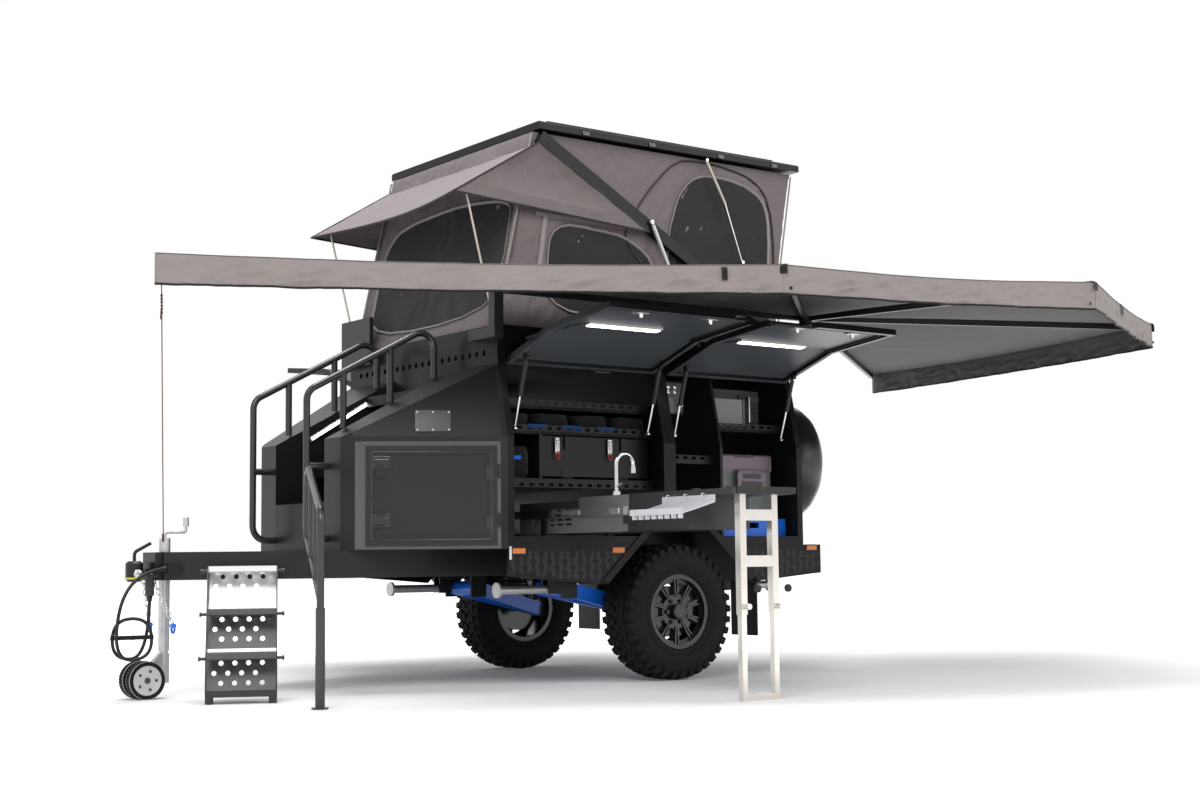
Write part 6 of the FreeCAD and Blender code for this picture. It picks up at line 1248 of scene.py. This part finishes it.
# Fittings of the drawbar
def drawbar_fittings():
    silver, chain, blue, yellow = shapes(4)
    silver.lathe([(0.0, 0.02), (0.004, 0.024), (0.018, 0.024), (0.022, 0.018)], (-3.0, -0.0445, 0.664), -Y, 24)
    yellow.lathe([(-0.005, 0.0455), (-0.005, 0.0468), (0.005, 0.0468), (0.005, 0.0455)], (-3.0, 0.0, 0.64), Z, 48,
                 closed=True)
    for side in (-1, 1):
        start = at(-2.925, side * 0.062, 0.64)
        path = [start + at(0.01, side * 0.012, -0.03) * k for k in range(9)]
        for k, (p, q) in enumerate(zip(path, path[1:])):
            along = (q - p).normalized()
            across = along.cross(X if k % 2 else Y).normalized()
            chain.tube(ring((p + q) / 2, along * 0.021, across * 0.011, 14), 0.0034, 8, closed=True)
        bow(blue, path[-1] - Z * 0.012, -Z, 0.018, 0.0065)
        chain.lathe([(-0.006, 0.014), (0.012, 0.01)], start + Z * 0.01, Z, 14)
    piece("coupling_knob", silver, "frame", "bright_steel")
    piece("coupling_band", yellow, "frame", "yellow_edge")
    piece("safety_chains", chain, "frame", "bright_steel", angle=50)
    piece("chain_shackles", blue, "frame", "slide_blue")


def jockey_tyres():
    """Tyres with slanting grooves, and the holes and caps of their hubs."""
    rubber, holes = shapes(2)
    for side in (-1, 1):
        centre = at(-2.948, side * 0.048, 0.1)
        rubber.lathe([(-0.0268, 0.078), (-0.0268, 0.098), (-0.02, 0.1004), (0.02, 0.1004), (0.0268, 0.098),
                      (0.0268, 0.078)], centre, Y, 72, closed=True)
        for t in turns(40):
            way, across = spoke(t)
            for y, slant in ((-0.013, 0.006), (0.013, -0.006)):
                p = centre + way * 0.0995 + Y * y
                corners = ((slant, -0.009), (slant + 0.007, -0.009), (0.007 - slant, 0.009), (-slant, 0.009))
                rubber.prism([p + across * u + Y * v for u, v in corners], way * 0.0022)
        for t in turns(5):
            holes.lathe([(0.0, 0.0085), (0.0009, 0.0085), (0.001, 0.004)],
                        centre + spoke(t)[0] * 0.05 + Y * side * 0.0258, Y * side, 16)
        holes.lathe([(0.0, 0.017), (0.004, 0.015), (0.005, 0.01)], centre + Y * side * 0.0258, Y * side, 24)
    piece("jockey_tyres", rubber, "jockey_wheels", "tyre_rubber")
    piece("jockey_hub_details", holes, "jockey_wheels", "coupling_grey")


drawbar_fittings()
jockey_tyres()


# Kitchen's small parts
def kitchen_fittings():
    silver, dark = shapes(2)
    silver.pad((-0.913, -1.5, 0.974), (0.085, 0.03), 0.005, across=-Y)
    silver.pad((-0.913, -1.1, 0.974), (0.16, 0.026), 0.003, 0.2, across=-Y)
    for y in (-2.25, -2.11, -1.97):
        silver.tube(bent([(-0.905, y, 1.036), (-0.93, y, 1.04), (-0.936, y, 1.016)], 0.008, 4), 0.003, 8)
    dark.pad((-0.6725, -2.4505, 1.052), (0.4, 0.034), 0.004, 0.1)
    for x in (-0.775, -0.57):
        dark.lathe([(0.0, 0.018), (0.004, 0.02), (0.016, 0.02), (0.02, 0.014)], (x, -2.475, 0.56), -Y, 16)
    piece("kitchen_latches", silver, "frame", "bright_steel")
    piece("kitchen_trim", dark, "frame", "rubber")


def work_lamp():
    """Small lamp on its bracket under the left eave."""
    box, face = shapes(2)
    box.box((-0.525, -0.8, 1.83), (-0.405, -0.74, 1.903))
    bracket = ((-0.515, 1.85), (-0.515, 1.815), (-0.415, 1.815), (-0.415, 1.85))
    box.tube([(x, -0.815, z) for x, z in bracket], 0.005, 8)
    face.box((-0.505, -0.806, 1.845), (-0.425, -0.801, 1.89))
    piece("work_lamp_box", box, "frame", "coupling_grey", bevel=0.003)
    piece("work_lamp_face", face, "frame", "bright_steel", bevel=0.001)


kitchen_fittings()
work_lamp()


# Floor, light and background
def seen(net, *kinds):
    """1 for the rays of the camera and of the kinds named, 0 for the rest."""
    found = net.make("LightPath", {}, "Is Camera Ray")
    for kind in kinds:
        found = net.math("MAXIMUM", found, net.make("LightPath", {}, kind))
    return found


def stage():
    """White floor that keeps the shadow near the trailer, white world, and three soft lamps."""
    mesh = bpy.data.meshes.new("floor")
    mesh.from_pydata([(x, y, -0.6645) for x, y in rectangle(-60.0, -60.0, 60.0, 60.0)], [], [(0, 1, 2, 3)])
    floor = link(bpy.data.objects.new("floor", mesh))
    net, shader, place = start_material("floor_white")
    away = net.vector("DISTANCE", place, (2.6, -0.6, -0.66), 1)
    far = net.span(away, 2.6, 6.5, 0.06, 1.0, interpolation_type="SMOOTHSTEP")
    net.fill(shader, {"Base Color": (0.9, 0.9, 0.9, 1.0), "Roughness": 0.9, "Specular IOR Level": 0.0,
                      "Emission Color": (1.0, 1.0, 1.0, 1.0),
                      "Emission Strength": net.math("MULTIPLY", seen(net, "Is Glossy Ray"), far)})
    mesh.materials.append(paints["floor_white"])
    world = bpy.data.worlds.new("studio")
    bpy.context.scene.world = world
    world.use_nodes = True
    net = Net(world.node_tree)
    level = net.span(seen(net, "Is Glossy Ray", "Is Transmission Ray"), 0.0, 1.0, 0.47, 1.0)
    net.fill(world.node_tree.nodes["Background"].inputs, {"Color": (1.0, 1.0, 1.0, 1.0), "Strength": level})
    for name, place, aim, size, power in (("key", at(-4.5, -7.0, 7.5), at(2.6, -0.4, 0.8), 5.0, 600.0),
                                          ("top", at(2.0, 0.5, 8.5), at(2.6, 0.0, 0.0), 4.5, 640.0),
                                          ("fill", at(7.5, -8.0, 5.0), at(3.0, -0.5, 0.8), 6.0, 260.0)):
        data = bpy.data.lights.new(name, "AREA")
        data.shape = "SQUARE"
        data.size = size
        data.energy = power
        lamp = link(bpy.data.objects.new(name, data))
        lamp.location = place
        lamp.rotation_mode = "QUATERNION"
        lamp.rotation_quaternion = (aim - place).to_track_quat("-Z", "Y")
    bpy.context.scene.view_settings.view_transform = "Standard"


stage()
